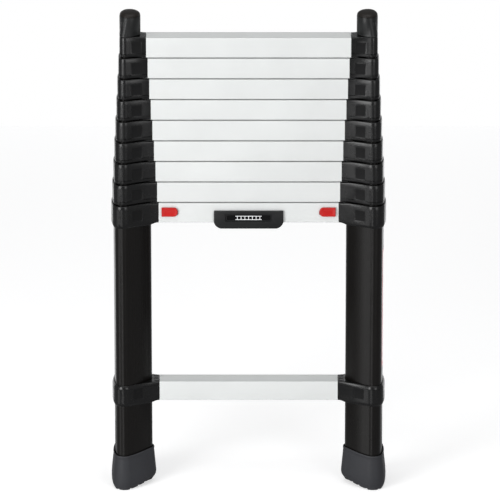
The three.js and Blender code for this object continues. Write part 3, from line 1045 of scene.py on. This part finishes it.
def collar_shell(number):
    """The right collar of a rung: ring, lug, bore and shoulder in one closed row of loops."""
    node = f"collar_{number}_right"
    low, high = box_mm(node)
    rung_low, rung_high = box_mm(f"rung_{number}")
    tube = max(1, number - 1)
    lug_end = rung_high.x + TUBE_GAP
    half_depth = rung_high.y
    nose = min(x for x, _ in section(tube))
    ring_start, ring_full = lug_end + RING_START, nose + RING_FULL
    seam = SEAM_GAP if number > 2 else 0

    def bottom_at(x):
        return rung_low.z + seam + (low.z - rung_low.z) * smoothstep(x, ring_start, ring_full)

    def top_at(x):
        return rung_high.z + (high.z - rung_high.z) * smoothstep(x, ring_start, ring_full)

    def outline_at(depth, rounding, sink=0.0):
        """The collar's outline at a depth below one of its edges."""
        lug_depth = half_depth - edge_inset(depth, RUNG_EDGE)
        return collar_outline(tube, ring_outset(depth, rounding), lug_depth, lug_end, sink)

    bottom_rounding = OPEN_ROUNDING if number <= 2 else WAIST_ROUNDING
    top_rounding = OPEN_ROUNDING if number == 1 else WAIST_ROUNDING
    loops = []
    for depth in EDGE_DEPTHS:
        outline = outline_at(depth, bottom_rounding)
        loops.append([(x, y, bottom_at(x) + depth) for x, y in outline])
    middle = (rung_low.z + rung_high.z) / 2
    panel_levels = [
        (-PANEL_HEIGHT / 2 - PANEL_RISE, 0),
        (-PANEL_HEIGHT / 2, PANEL_DEPTH),
        (PANEL_HEIGHT / 2, PANEL_DEPTH),
        (PANEL_HEIGHT / 2 + PANEL_RISE, 0),
    ]
    for offset, sink in panel_levels:
        loops.append(at_height(outline_at(WAIST_HEIGHT, 0, sink), middle + offset))
    for depth in reversed(EDGE_DEPTHS):
        outline = outline_at(depth, top_rounding)
        loops.append([(x, y, top_at(x) - depth) for x, y in outline])

    # Across the top to the bore, in steps so that the surface follows the lip's slope.
    has_lip = 1 < number <= SECTIONS
    pocket = bore_outline(tube, TUBE_GAP)
    if has_lip:
        bore = bore_outline(number, SLIDE_GAP)
        mouth = bore_outline(number, SLIDE_GAP + BORE_CHAMFER)
    else:
        bore = pocket
        mouth = bore_outline(tube, TUBE_GAP + CLOSED_CHAMFER)
    top_edge = [(x, y) for x, y, _ in loops[-1]]
    bottom_edge = [(x, y) for x, y, _ in loops[0]]

    def across(start, end, height):
        """Three rows between two outlines."""
        rows = []
        for share in (0.25, 0.5, 0.75):
            row = []
            for a, b in zip(start, end):
                x = a[0] + (b[0] - a[0]) * share
                y = a[1] + (b[1] - a[1]) * share
                row.append((x, y, height(x)))
            rows.append(row)
        return rows

    loops += across(top_edge, mouth, top_at)
    loops.append(at_height(mouth, high.z))
    loops.append(at_height(bore, high.z - BORE_CHAMFER))
    if has_lip:
        loops.append(at_height(bore, high.z - SHOULDER))
        loops.append(at_height(pocket, high.z - SHOULDER))
    loops.append(at_height(pocket, low.z + seam))
    loops += across(pocket, bottom_edge, bottom_at)
    return skin(loops, closed=True)


TENON_CHAMFER = 1.5
TENON_ROOT = 0.5  # how far it reaches into the lug


def tenon_shell(number):
    """The block that plugs into the rung's end."""
    low, _ = box_mm(f"collar_{number}_right")
    rung_low, rung_high = box_mm(f"rung_{number}")
    clear = RUNG_WALL + TUBE_GAP
    half_y = rung_high.y - clear
    half_z = (rung_high.z - rung_low.z) / 2 - clear
    middle = (rung_high.z + rung_low.z) / 2
    outline = [(-half_y, -half_z), (half_y, -half_z), (half_y, half_z), (-half_y, half_z)]
    chamfer = TENON_CHAMFER
    tip = [(y - math.copysign(chamfer, y), z - math.copysign(chamfer, z)) for y, z in outline]
    root_x = rung_high.x + TUBE_GAP + TENON_ROOT
    rows = [(tip, low.x), (outline, low.x + chamfer), (outline, root_x)]
    return skin([[(x, y, middle + z) for y, z in points] for points, x in rows])


PANEL_ROW = len(EDGE_DEPTHS) + 1
FIRST_PANEL_POINT = LUG_STEPS + 1
LAST_PANEL_POINT = LUG_STEPS + len(PANEL_STATIONS) - 2


def is_panel(face_index):
    """Whether one of the skin's faces is in a sunk panel, on the front or on the back."""
    row, place = divmod(face_index, COLLAR_POINTS)
    opposite = COLLAR_POINTS - 2 - place
    panel_points = range(FIRST_PANEL_POINT, LAST_PANEL_POINT)
    return row == PANEL_ROW and (place in panel_points or opposite in panel_points)


for number in range(1, SECTIONS + 2):
    ring = collar_shell(number)
    for side, mirror in SIDES.items():
        collar = make_piece(
            f"collar_{number}_{side}_moulding",
            joined(ring, tenon_shell(number)),
            collar_nylon,
            body_of_rung(number),
            [f"collar_{number}_{side}"],
            mirror,
        )
        collar.data.materials.append(panel_nylon)
        for index, face in enumerate(collar.data.polygons):
            face.material_index = int(is_panel(index))
print("collars:", 2 * (SECTIONS + 1))

# %% [markdown]
# The lugs of the bottom rung are stepped on, so the mould gives their tops four grooves along the rung.

# %% Grooves in the lowest lugs
LUG_GROOVES = 4
LUG_GROOVE_SPACING = 7.6
LUG_GROOVE_WIDTH = 3.2
LUG_GROOVE_DEPTH = 1.6
LUG_GROOVE_START, LUG_GROOVE_END = 1.5, 2.5  # clear of the rung's end and of the tube's nose
CUTTER_OVER = 2  # how far the cutter stands above the lug
lowest_rung_end = box_mm("rung_1")[1]


def block(low, high):
    """A box between two opposite corners."""
    outline = [(low[0], low[1]), (high[0], low[1]), (high[0], high[1]), (low[0], high[1])]
    return skin([at_height(outline, low[2]), at_height(outline, high[2])])


groove_start = lowest_rung_end.x + LUG_GROOVE_START
groove_end = NOSE_X - LUG_GROOVE_END
groove_cutters = []
for i in range(LUG_GROOVES):
    middle = (i - (LUG_GROOVES - 1) / 2) * LUG_GROOVE_SPACING
    groove_cutters.append(
        block(
            (groove_start, middle - LUG_GROOVE_WIDTH / 2, lowest_rung_end.z - LUG_GROOVE_DEPTH),
            (groove_end, middle + LUG_GROOVE_WIDTH / 2, lowest_rung_end.z + CUTTER_OVER),
        )
    )
for side, mirror in SIDES.items():
    cut_with(bpy.data.objects[f"collar_1_{side}_moulding"], joined(*groove_cutters), mirror)
print("lug grooves:", 2 * LUG_GROOVES)

# %% [markdown]
# ## Feet
# The rubber boot widens from its mouth to just above the sole. Its mouth has a rounded bead, stands a
# little off the tube and rises towards the rungs, where the sole's toe is rolled up. The sole is ribbed:
# straight bars run across the boot, each cut from the boot's outline between two lines, so the grooves
# show as notches along the sole's edge.

# %% Feet
FOOT_HEIGHT = box_mm("foot_right")[1].z
SOLE_BAR = 6.0
SOLE_GROOVE = 2.6
SOLE_DEPTH = 2.2
SOLE_REACH = 3.6  # how far the bars' pattern reaches beyond the tube's section
BAR_REACH = 2.6  # and the bars themselves
BAR_CHAMFER = 0.3
TREAD_TOP, BAR_BOTTOM = 1.0, 0.4
BAR_ROOT = 1.0  # how far the bars reach into the boot
MOUTH_BEND_START, MOUTH_BEND_END = -4, 44  # from the tube's nose
MOUTH_RISE = 4.5  # the mouth stands higher towards the rungs
TOE_LENGTH = 40.0
TOE_RISE = 10.0  # and the sole's toe under the rungs is rolled up
TOE_CURVE = 1.3
TOE_FULL = 2  # the height up to which the whole toe rises
FOOT_PROFILE = [  # how far the boot stands out from the tube, and at what height
    (2.6, SOLE_DEPTH),
    (4.0, SOLE_DEPTH + 0.4),
    (5.0, 5.0),
    (5.6, 8.5),
    (5.9, 13.0),
    (5.9, 19.0),
    (5.4, 27.0),
    (4.6, 35.0),
    (3.7, 43.0),
    (3.0, FOOT_HEIGHT - 8.0),
    (2.6, FOOT_HEIGHT - 5.0),
    (2.7, FOOT_HEIGHT - 4.0),
    (3.0, FOOT_HEIGHT - 2.8),
    (3.0, FOOT_HEIGHT - 1.6),
    (2.7, FOOT_HEIGHT - 0.6),
    (2.1, FOOT_HEIGHT),
    (1.5, FOOT_HEIGHT - 0.2),
    (0.9, FOOT_HEIGHT - 1.2),
    (0.4, FOOT_HEIGHT - 4.0),
    (0.3, FOOT_HEIGHT - 9.0),
    (0.3, 5.7),
]


def bend_foot(point):
    """Raises the mouth and rolls the sole's toe up, both towards the rungs."""
    x, y, z = point
    towards_rungs = 1 - smoothstep(x, NOSE_X + MOUTH_BEND_START, NOSE_X + MOUTH_BEND_END)
    toe = min(1.0, max(0.0, (NOSE_X + TOE_LENGTH - x) / TOE_LENGTH))
    mouth_share = smoothstep(z, FOOT_HEIGHT / 2, FOOT_HEIGHT)
    toe_share = 1 - smoothstep(z, TOE_FULL, FOOT_HEIGHT / 2)
    return x, y, z + MOUTH_RISE * towards_rungs * mouth_share + TOE_RISE * toe**TOE_CURVE * toe_share


def band(outline, low, high):
    """The part of a convex outline between two lines across it."""

    def keep(points, limit, sign):
        """The points on one side of a line, and those where the outline crosses it."""
        kept = []
        for i, here in enumerate(points):
            after = points[(i + 1) % len(points)]
            inside = sign * (here[1] - limit) >= 0
            inside_after = sign * (after[1] - limit) >= 0
            if inside:
                kept.append(here)
            if inside != inside_after:
                share = (limit - here[1]) / (after[1] - here[1])
                kept.append((here[0] + share * (after[0] - here[0]), limit))
        return kept

    return keep(keep(outline, low, 1), high, -1)


def sole_bars():
    """Ribs under the sole, from the floor up into the boot."""
    bars = []
    outline = section(1, BAR_REACH)
    reach = max(y for _, y in section(1, SOLE_REACH))
    pitch = SOLE_BAR + SOLE_GROOVE
    count = int(2 * reach // pitch) + 1
    start = -count * pitch / 2 + SOLE_GROOVE / 2
    for i in range(count):
        low = start + i * pitch
        high = low + SOLE_BAR
        face = band(outline, low + BAR_CHAMFER, high - BAR_CHAMFER)
        root = band(outline, low, high)
        if len(face) < 3 or len(root) < 3:
            continue
        prism = skin([at_height(root, BAR_BOTTOM), at_height(root, SOLE_DEPTH + BAR_ROOT)])
        tread = skin([at_height(face, 0), at_height(face, TREAD_TOP)])
        bars += [prism, tread]
    return bars


foot_body = skin([at_height(section(1, outset), z) for outset, z in FOOT_PROFILE])
foot_points, foot_faces = joined(foot_body, *sole_bars())
foot_shell = ([bend_foot(point) for point in foot_points], foot_faces)
for side, mirror in SIDES.items():
    make_piece(f"boot_{side}", foot_shell, foot_rubber, "lower_frame", [f"foot_{side}"], mirror)
print("boot height, mm:", round(FOOT_HEIGHT, 1))

# %% [markdown]
# ## Caps
# A cap is a sleeve over the smallest tube, closed by a low dome. At its foot it follows the tube's
# section, and higher up it eases into an oval, which the dome then closes. The sleeve and the dome are
# two mouldings of slightly different colour with a fine groove between them, so the faces above the
# groove get a second material.

# %% Caps
cap_low, cap_high = box_mm("top_cap_right")
CAP_WALL = 3.0
CAP_GRIP = 24
DOME_HEIGHT = 7.5
DOME_STEPS = 14
DOME_FOOT = 0.6  # from the groove up to where the dome's curve starts
DOME_INSET = 0.4
DOME_FULLNESS = 0.8  # less than 1 makes the dome fuller than a circle
OVAL_CLEARANCE = 0.3
OVAL_DEPTH_SHARE = 0.93
OVAL_SHARE = 0.85  # how near the top of the sleeve comes to a true oval
dome_start = cap_high.z - DOME_HEIGHT
cap_foot = section(SECTIONS, CAP_WALL)
cap_middle = (min(x for x, _ in cap_foot) + max(x for x, _ in cap_foot)) / 2
OVAL_HALF_WIDTH = cap_high.x - cap_middle - OVAL_CLEARANCE
OVAL_HALF_DEPTH = cap_high.y * OVAL_DEPTH_SHARE


def cap_outline(outset, oval):
    """The section drawn out by `outset`, eased towards an oval."""
    eased = []
    for x, y in section(SECTIONS, outset):
        angle = math.atan2(y / OVAL_HALF_DEPTH, (x - cap_middle) / OVAL_HALF_WIDTH)
        shrink = outset - CAP_WALL
        oval_x = cap_middle + (OVAL_HALF_WIDTH + shrink) * math.cos(angle)
        oval_y = (OVAL_HALF_DEPTH + shrink) * math.sin(angle)
        eased.append((x + (oval_x - x) * oval, y + (oval_y - y) * oval))
    return eased


cap_rows = [  # how far it stands out from the tube, at what height, and how oval it is there
    (0.3, cap_low.z + CAP_GRIP, 0),
    (0.3, cap_low.z + 0.4, 0),
    (0.7, cap_low.z, 0),
    (CAP_WALL - 0.1, cap_low.z, 0),
    (CAP_WALL + 0.3, cap_low.z + 0.5, 0),
    (CAP_WALL + 0.3, cap_low.z + 2.0, 0),
    (CAP_WALL + 0.1, cap_low.z + 2.8, 0),
    (CAP_WALL, cap_low.z + 4.0, 0.05),
    (CAP_WALL, cap_low.z + 12.0, OVAL_SHARE * 0.5),
    (CAP_WALL, cap_low.z + 20.0, OVAL_SHARE * 0.85),
    (CAP_WALL, dome_start - 1.4, OVAL_SHARE),
    (CAP_WALL - 0.2, dome_start - 0.5, OVAL_SHARE),
    (CAP_WALL - 0.9, dome_start - 0.1, OVAL_SHARE),
    (CAP_WALL - 0.9, dome_start + 0.2, OVAL_SHARE),
    (CAP_WALL - DOME_INSET, dome_start + DOME_FOOT, OVAL_SHARE),
]
cap_loops = [at_height(cap_outline(outset, oval), z) for outset, z, oval in cap_rows]
rim = cap_outline(CAP_WALL - DOME_INSET, OVAL_SHARE)
for i in range(1, DOME_STEPS + 1):
    turn = math.pi / 2 * i / (DOME_STEPS + 0.5)
    spread = math.cos(turn) ** DOME_FULLNESS
    height = dome_start + DOME_FOOT + math.sin(turn) * (DOME_HEIGHT - DOME_FOOT)
    cap_loops.append([(cap_middle + (x - cap_middle) * spread, y * spread, height) for x, y in rim])
cap_shell = skin(cap_loops)
cap_body = body_of_tube(SECTIONS)
for side, mirror in SIDES.items():
    cap = make_piece(f"cap_{side}", cap_shell, cap_nylon, cap_body, [f"top_cap_{side}"], mirror)
    cap.data.materials.append(dome_nylon)
    for face in cap.data.polygons:
        face.material_index = int(face.center.z > dome_start * MM)
print("caps rise to, mm:", round(cap_high.z, 1))

# %% [markdown]
# ## Thumb buttons, bolts and springs
# The red button is a D-shaped pad with a softly rounded rim and a shallow dish for the thumb. A stem runs
# from it through a slot in the rung to the lock bolt. The spring behind the bolt's flange shortens as the
# button slides in; here it is built at its rest length, on the lower frame.


# %% Buttons
SHARPEST_BISECTOR = 0.3  # keeps a sharp corner from running far in


def inset_loop(points, distance):
    """A convex loop drawn in along its corners' bisectors."""
    drawn = []
    for i, (x, y) in enumerate(points):
        before = Vector(points[i - 1])
        here = Vector((x, y))
        after = Vector(points[(i + 1) % len(points)])
        first = (here - before).normalized()
        second = (after - here).normalized()
        bisector = Vector((-first.y - second.y, first.x + second.x))
        scale = distance / max(SHARPEST_BISECTOR, 1 + first.dot(second))
        drawn.append((x + bisector.x * scale, y + bisector.y * scale))
    return drawn


pad_low, pad_high = box_mm("release_button_right")
pad_middle = (pad_low.z + pad_high.z) / 2
pad_half = (pad_high.z - pad_low.z) / 2
bolt_low, bolt_high = box_mm("lock_bolt_right")
bolt_middle = (bolt_low.z + bolt_high.z) / 2
ROUND_END = 6.6
FLAT_END = 1.2
pad_corners = [
    ((pad_high.x - FLAT_END, -pad_half + FLAT_END), FLAT_END, -quarter, 0, 5),
    ((pad_high.x - FLAT_END, pad_half - FLAT_END), FLAT_END, 0, quarter, 5),
    ((pad_low.x + ROUND_END, pad_half - ROUND_END), ROUND_END, quarter, 2 * quarter, 14),
    ((pad_low.x + ROUND_END, ROUND_END - pad_half), ROUND_END, 2 * quarter, 3 * quarter, 14),
]
pad_outline = [point for corner in pad_corners for point in arc(*corner)]
pad_back = box_mm("rung_2")[0].y - TUBE_GAP
pad_face = pad_low.y
pad_rows = [  # how far in from the pad's outline, and at what depth
    (0.2, pad_back),
    (0, pad_back - 0.2),
    (0, pad_face + 1.2),
    (0.12, pad_face + 0.75),
    (0.4, pad_face + 0.35),
    (0.8, pad_face + 0.1),
    (1.3, pad_face),
    (1.9, pad_face + 0.05),
    (2.6, pad_face + 0.25),
    (3.6, pad_face + 0.5),
    (5.2, pad_face + 0.7),
]


def pad_loop(inset, y):
    """The pad's outline at one depth, drawn in by `inset`."""
    return [(x, y, pad_middle + z) for x, z in inset_loop(pad_outline, inset)]


STEM_HALF_WIDTH, STEM_HALF_HEIGHT = 4.0, 2.7
STEM_X = 124.0  # the stem's middle
STEM_ROOT = 0.5  # how far the stem reaches into the pad
SLOT_CLEARANCE = 0.5
BUTTON_TRAVEL = joint_travel("release_right_slide")
SLOT_FRONT, SLOT_BACK = -19.0, -14.0  # from before the rung's front to inside the rung


def bar_loop(low_x, high_x, half_height, y):
    """Corners of an upright rectangle about the bolt's height."""
    low, high = bolt_middle - half_height, bolt_middle + half_height
    return [(low_x, y, low), (high_x, y, low), (high_x, y, high), (low_x, y, high)]


stem_loops = [
    bar_loop(STEM_X - STEM_HALF_WIDTH, STEM_X + STEM_HALF_WIDTH, STEM_HALF_HEIGHT, y)
    for y in (pad_back - STEM_ROOT, pad_high.y)
]
slot_low = STEM_X - STEM_HALF_WIDTH - BUTTON_TRAVEL - SLOT_CLEARANCE
slot_high = STEM_X + STEM_HALF_WIDTH + SLOT_CLEARANCE
slot_loops = [
    bar_loop(slot_low, slot_high, STEM_HALF_HEIGHT + SLOT_CLEARANCE, y) for y in (SLOT_FRONT, SLOT_BACK)
]
button_shell = joined(skin([pad_loop(inset, y) for inset, y in pad_rows]), skin(stem_loops))
for side, mirror in SIDES.items():
    make_piece(
        f"thumb_button_{side}",
        button_shell,
        red_plastic,
        f"release_{side}",
        [f"release_button_{side}"],
        mirror,
    )
    cut_with(rungs[2], skin(slot_loops), mirror)
print("button, mm:", [round(v, 1) for v in (pad_high - pad_low)])

# %% Bolts
flange_radius = (bolt_high.z - bolt_low.z) / 2
FLANGE_OUTER = NOSE_X - 2
FLANGE_INNER = FLANGE_OUTER - 2.4
FLANGE_CHAMFER = 0.3
BOLT_RADIUS = 4.0
BOLT_CHAMFER = 0.8
BOLT_TIP_CHAMFER = 1.2
bolt_rows = [  # radius, and where along the bolt
    (BOLT_RADIUS - BOLT_CHAMFER, bolt_low.x),
    (BOLT_RADIUS, bolt_low.x + BOLT_CHAMFER),
    (BOLT_RADIUS, FLANGE_INNER),
    (flange_radius - FLANGE_CHAMFER, FLANGE_INNER),
    (flange_radius, FLANGE_INNER + FLANGE_CHAMFER),
    (flange_radius, FLANGE_OUTER - FLANGE_CHAMFER),
    (flange_radius - FLANGE_CHAMFER, FLANGE_OUTER),
    (BOLT_RADIUS, FLANGE_OUTER),
    (BOLT_RADIUS, bolt_high.x - BOLT_TIP_CHAMFER),
    (BOLT_RADIUS - BOLT_TIP_CHAMFER, bolt_high.x),
]
bolt_ring = full_circle((0, 0), 1, ROUND_SIDES)
bolt_shell = skin(
    [[(x, y * radius, bolt_middle + z * radius) for y, z in bolt_ring] for radius, x in bolt_rows]
)
print("bolt, mm long:", round(bolt_high.x - bolt_low.x, 1))

# %% Springs
spring_low, spring_high = box_mm("lock_spring_right")
WIRE_RADIUS = 0.6
COILS = 5
COIL_STEPS = 24
WIRE_SIDES = 8
coil_radius = (spring_high.z - spring_low.z) / 2 - WIRE_RADIUS
spring_start = spring_low.x + WIRE_RADIUS
spring_end = spring_high.x - WIRE_RADIUS
rise = (spring_end - spring_start) / (COILS * COIL_STEPS)
spring_loops = []
for i in range(COILS * COIL_STEPS + 1):
    turn = 2 * math.pi * i / COIL_STEPS
    outward = Vector((0, math.cos(turn), math.sin(turn)))
    centre = Vector((spring_start + rise * i, 0, bolt_middle)) + outward * coil_radius
    loop = []
    for k in range(WIRE_SIDES):
        angle = 2 * math.pi * k / WIRE_SIDES
        around = math.cos(angle) * outward + math.sin(angle) * Vector((1, 0, 0))
        loop.append(centre + WIRE_RADIUS * around)
    spring_loops.append(loop)
spring_shell = skin(spring_loops)
for side, mirror in SIDES.items():
    bolt_body, bolt_node, spring_node = f"release_{side}", f"lock_bolt_{side}", f"lock_spring_{side}"
    make_piece(f"bolt_{side}", bolt_shell, plated_steel, bolt_body, [bolt_node], mirror)
    spring = make_piece(
        f"spring_{side}", spring_shell, plated_steel, "lower_frame", [spring_node], mirror
    )
    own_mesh(spring)

# %% [markdown]
# ## Centre grip
# The grip is a plate with chamfered lower corners that hooks under the rung. Its rounded edges come from
# a Bevel modifier, and the window is cut after that, so its own edge stays crisp. The plate in the window
# is blank but for a plain pictogram of a ladder lying on its side.

# %% Grip
grip_low, grip_high = box_mm("centre_grip")
GRIP_CHAMFER = 11.0
GRIP_PROUD = 4.0
grip_back = grip_low.y + GRIP_PROUD
GRIP_BULGE = 2.4  # how far a lower corner swells beyond a straight chamfer
GRIP_CORNER_STEPS = 8
corner_curve = []
for i in range(GRIP_CORNER_STEPS + 1):
    share = i / GRIP_CORNER_STEPS
    swell = 4 * GRIP_BULGE * share * (1 - share) * math.sqrt(0.5)
    corner_curve.append((GRIP_CHAMFER * share - swell, GRIP_CHAMFER * (1 - share) - swell))
left_half = [(grip_low.x, grip_high.z)] + [(grip_low.x + x, grip_low.z + z) for x, z in corner_curve]
grip_outline = left_half + [(-x, z) for x, z in reversed(left_half)]
grip_plate = skin([[(x, y, z) for x, z in grip_outline] for y in (grip_back, grip_low.y)])


def bevel(piece, width, segments):
    """Rounds the sharp edges of a piece, for good."""
    rounding = piece.modifiers.new("rounding", "BEVEL")
    rounding.width = width * MM
    rounding.segments = segments
    rounding.limit_method = "ANGLE"
    apply_modifiers(piece)


HOOK_SHORTER = 2  # than the grip's straight lower edge, at each end
HOOK_ROOT = 0.5  # how far the hook reaches into the plate
HOOK_END_WALL = 6
HOOK_FRONT_WALL = 1.5
HOOK_WALL = 3  # behind the fingers and over them
under_rung = box_mm("rung_2")[0].z - TUBE_GAP
hook_half = grip_high.x - GRIP_CHAMFER - HOOK_SHORTER
hook = block((-hook_half, grip_back - HOOK_ROOT, grip_low.z), (hook_half, grip_high.y, under_rung))
finger_half = hook_half - HOOK_END_WALL
fingers = block(
    (-finger_half, grip_back + HOOK_FRONT_WALL, grip_low.z - CUTTER_OVER / 2),
    (finger_half, grip_high.y - HOOK_WALL, under_rung - HOOK_WALL),
)
grip = make_piece("grip_plate", grip_plate, grip_nylon, "lower_frame", ["centre_grip"])
bevel(grip, width=1.1, segments=3)
grip_hook = make_piece("grip_hook", hook, grip_nylon, "lower_frame", [])
cut_with(grip_hook, fingers)
bevel(grip_hook, width=0.6, segments=2)

WINDOW_HALF_WIDTH = 37.0
WINDOW_HALF_HEIGHT = 6.5
WINDOW_RADIUS = 2.2
WINDOW_MARGIN = 5  # above the window
window_middle = grip_high.z - WINDOW_MARGIN - WINDOW_HALF_HEIGHT


def window_loop(half_width, half_height, radius, y):
    """An upright rounded rectangle about the window's middle."""
    across, up = half_width - radius, half_height - radius
    loop = []
    for turn, centre in enumerate([(across, up), (-across, up), (-across, -up), (across, -up)]):
        loop += arc(centre, radius, turn * quarter, (turn + 1) * quarter, EDGE_STEPS)
    return [(x, y, window_middle + z) for x, z in loop]


window_rows = [  # how much wider the window is, and at what depth
    (0.5, grip_low.y - 0.5),
    (0.35, grip_low.y),
    (0, grip_low.y + 0.4),
    (0, grip_low.y + 2),
]
window_loops = [
    window_loop(WINDOW_HALF_WIDTH + grow, WINDOW_HALF_HEIGHT + grow, WINDOW_RADIUS + grow, y)
    for grow, y in window_rows
]
cut_with(grip, skin(window_loops))
print("grip, mm:", [round(v, 1) for v in (grip_high - grip_low)])

# %% Insert and its pictogram
insert_low, insert_high = box_mm("grip_insert")
insert_half = insert_high.x
insert_half_height = (insert_high.z - insert_low.z) / 2
INSERT_RADIUS = 1.5
INSERT_EDGE = 0.25
insert_rows = [(0, insert_high.y), (0, insert_low.y + INSERT_EDGE), (INSERT_EDGE, insert_low.y)]
insert_loops = [
    window_loop(insert_half - inset, insert_half_height - inset, INSERT_RADIUS - inset, y)
    for inset, y in insert_rows
]
make_piece("insert_plate", skin(insert_loops), insert_gloss, "lower_frame", ["grip_insert"])

RAIL = 0.9
SYMBOL_HALF_LENGTH = 21.0
SYMBOL_HALF_HEIGHT = 2.9
SYMBOL_RUNGS = 7
INK_PROUD, INK_ROOT = 0.12, 0.05  # before and behind the plate's face
symbol_face = insert_low.y
strokes = []
for across in (-1, 1):
    middle = window_middle + across * SYMBOL_HALF_HEIGHT
    strokes.append(((-SYMBOL_HALF_LENGTH, middle - RAIL / 2), (SYMBOL_HALF_LENGTH, middle + RAIL / 2)))
for i in range(SYMBOL_RUNGS):
    x = -SYMBOL_HALF_LENGTH + SYMBOL_HALF_LENGTH * (2 * i + 1) / SYMBOL_RUNGS
    reach = SYMBOL_HALF_HEIGHT - RAIL / 2
    strokes.append(((x - RAIL / 2, window_middle - reach), (x + RAIL / 2, window_middle + reach)))
symbol = joined(
    *[
        block((low_x, symbol_face - INK_PROUD, low_z), (high_x, symbol_face + INK_ROOT, high_z))
        for (low_x, low_z), (high_x, high_z) in strokes
    ]
)
make_piece("insert_symbol", symbol, white_ink, "lower_frame", [])
print("window plate, mm wide:", round(2 * insert_half, 1))

# %% [markdown]
# ## Label
# A long film label is stuck on the outward face of the right stile. Only its edge shows from the front.
# It is left blank here: a pale film with a red border, bent to the crown of the base.

# %% Label
LABEL_HALF_WIDTH = 24.0
LABEL_BORDER = 6.0
LABEL_THICKNESS = 0.15
LABEL_LOW, LABEL_HIGH = 205.0, 402.0
LABEL_STEPS = 16
GLUE = 0.02  # between the tube and the film
base_centre_x = BASE_X - BASE_RADIUS
reach = math.asin(LABEL_HALF_WIDTH / BASE_RADIUS)
border = math.asin((LABEL_HALF_WIDTH - LABEL_BORDER) / BASE_RADIUS)
turns = [-border + 2 * border * i / LABEL_STEPS for i in range(LABEL_STEPS + 1)]
turns = [-reach] + turns + [reach]
outside = BASE_RADIUS + LABEL_THICKNESS
inside = BASE_RADIUS + GLUE
low_edge, high_edge = LABEL_LOW + LABEL_BORDER, LABEL_HIGH - LABEL_BORDER
film = [(base_centre_x + outside * math.cos(turn), outside * math.sin(turn)) for turn in turns]
film += [(base_centre_x + inside * math.cos(turn), inside * math.sin(turn)) for turn in reversed(turns)]
label_loops = [at_height(film, z) for z in (LABEL_LOW, low_edge, high_edge, LABEL_HIGH)]
label = make_piece("side_label", skin(label_loops), label_film, "lower_frame", [])
label.data.materials.append(label_border)
for face in label.data.polygons:
    height = face.center.z / MM
    depth = abs(face.center.y / MM)
    on_border = height < low_edge or height > high_edge or depth > LABEL_HALF_WIDTH - LABEL_BORDER
    face.material_index = int(on_border)
print("label, mm:", 2 * LABEL_HALF_WIDTH, "by", LABEL_HIGH - LABEL_LOW)
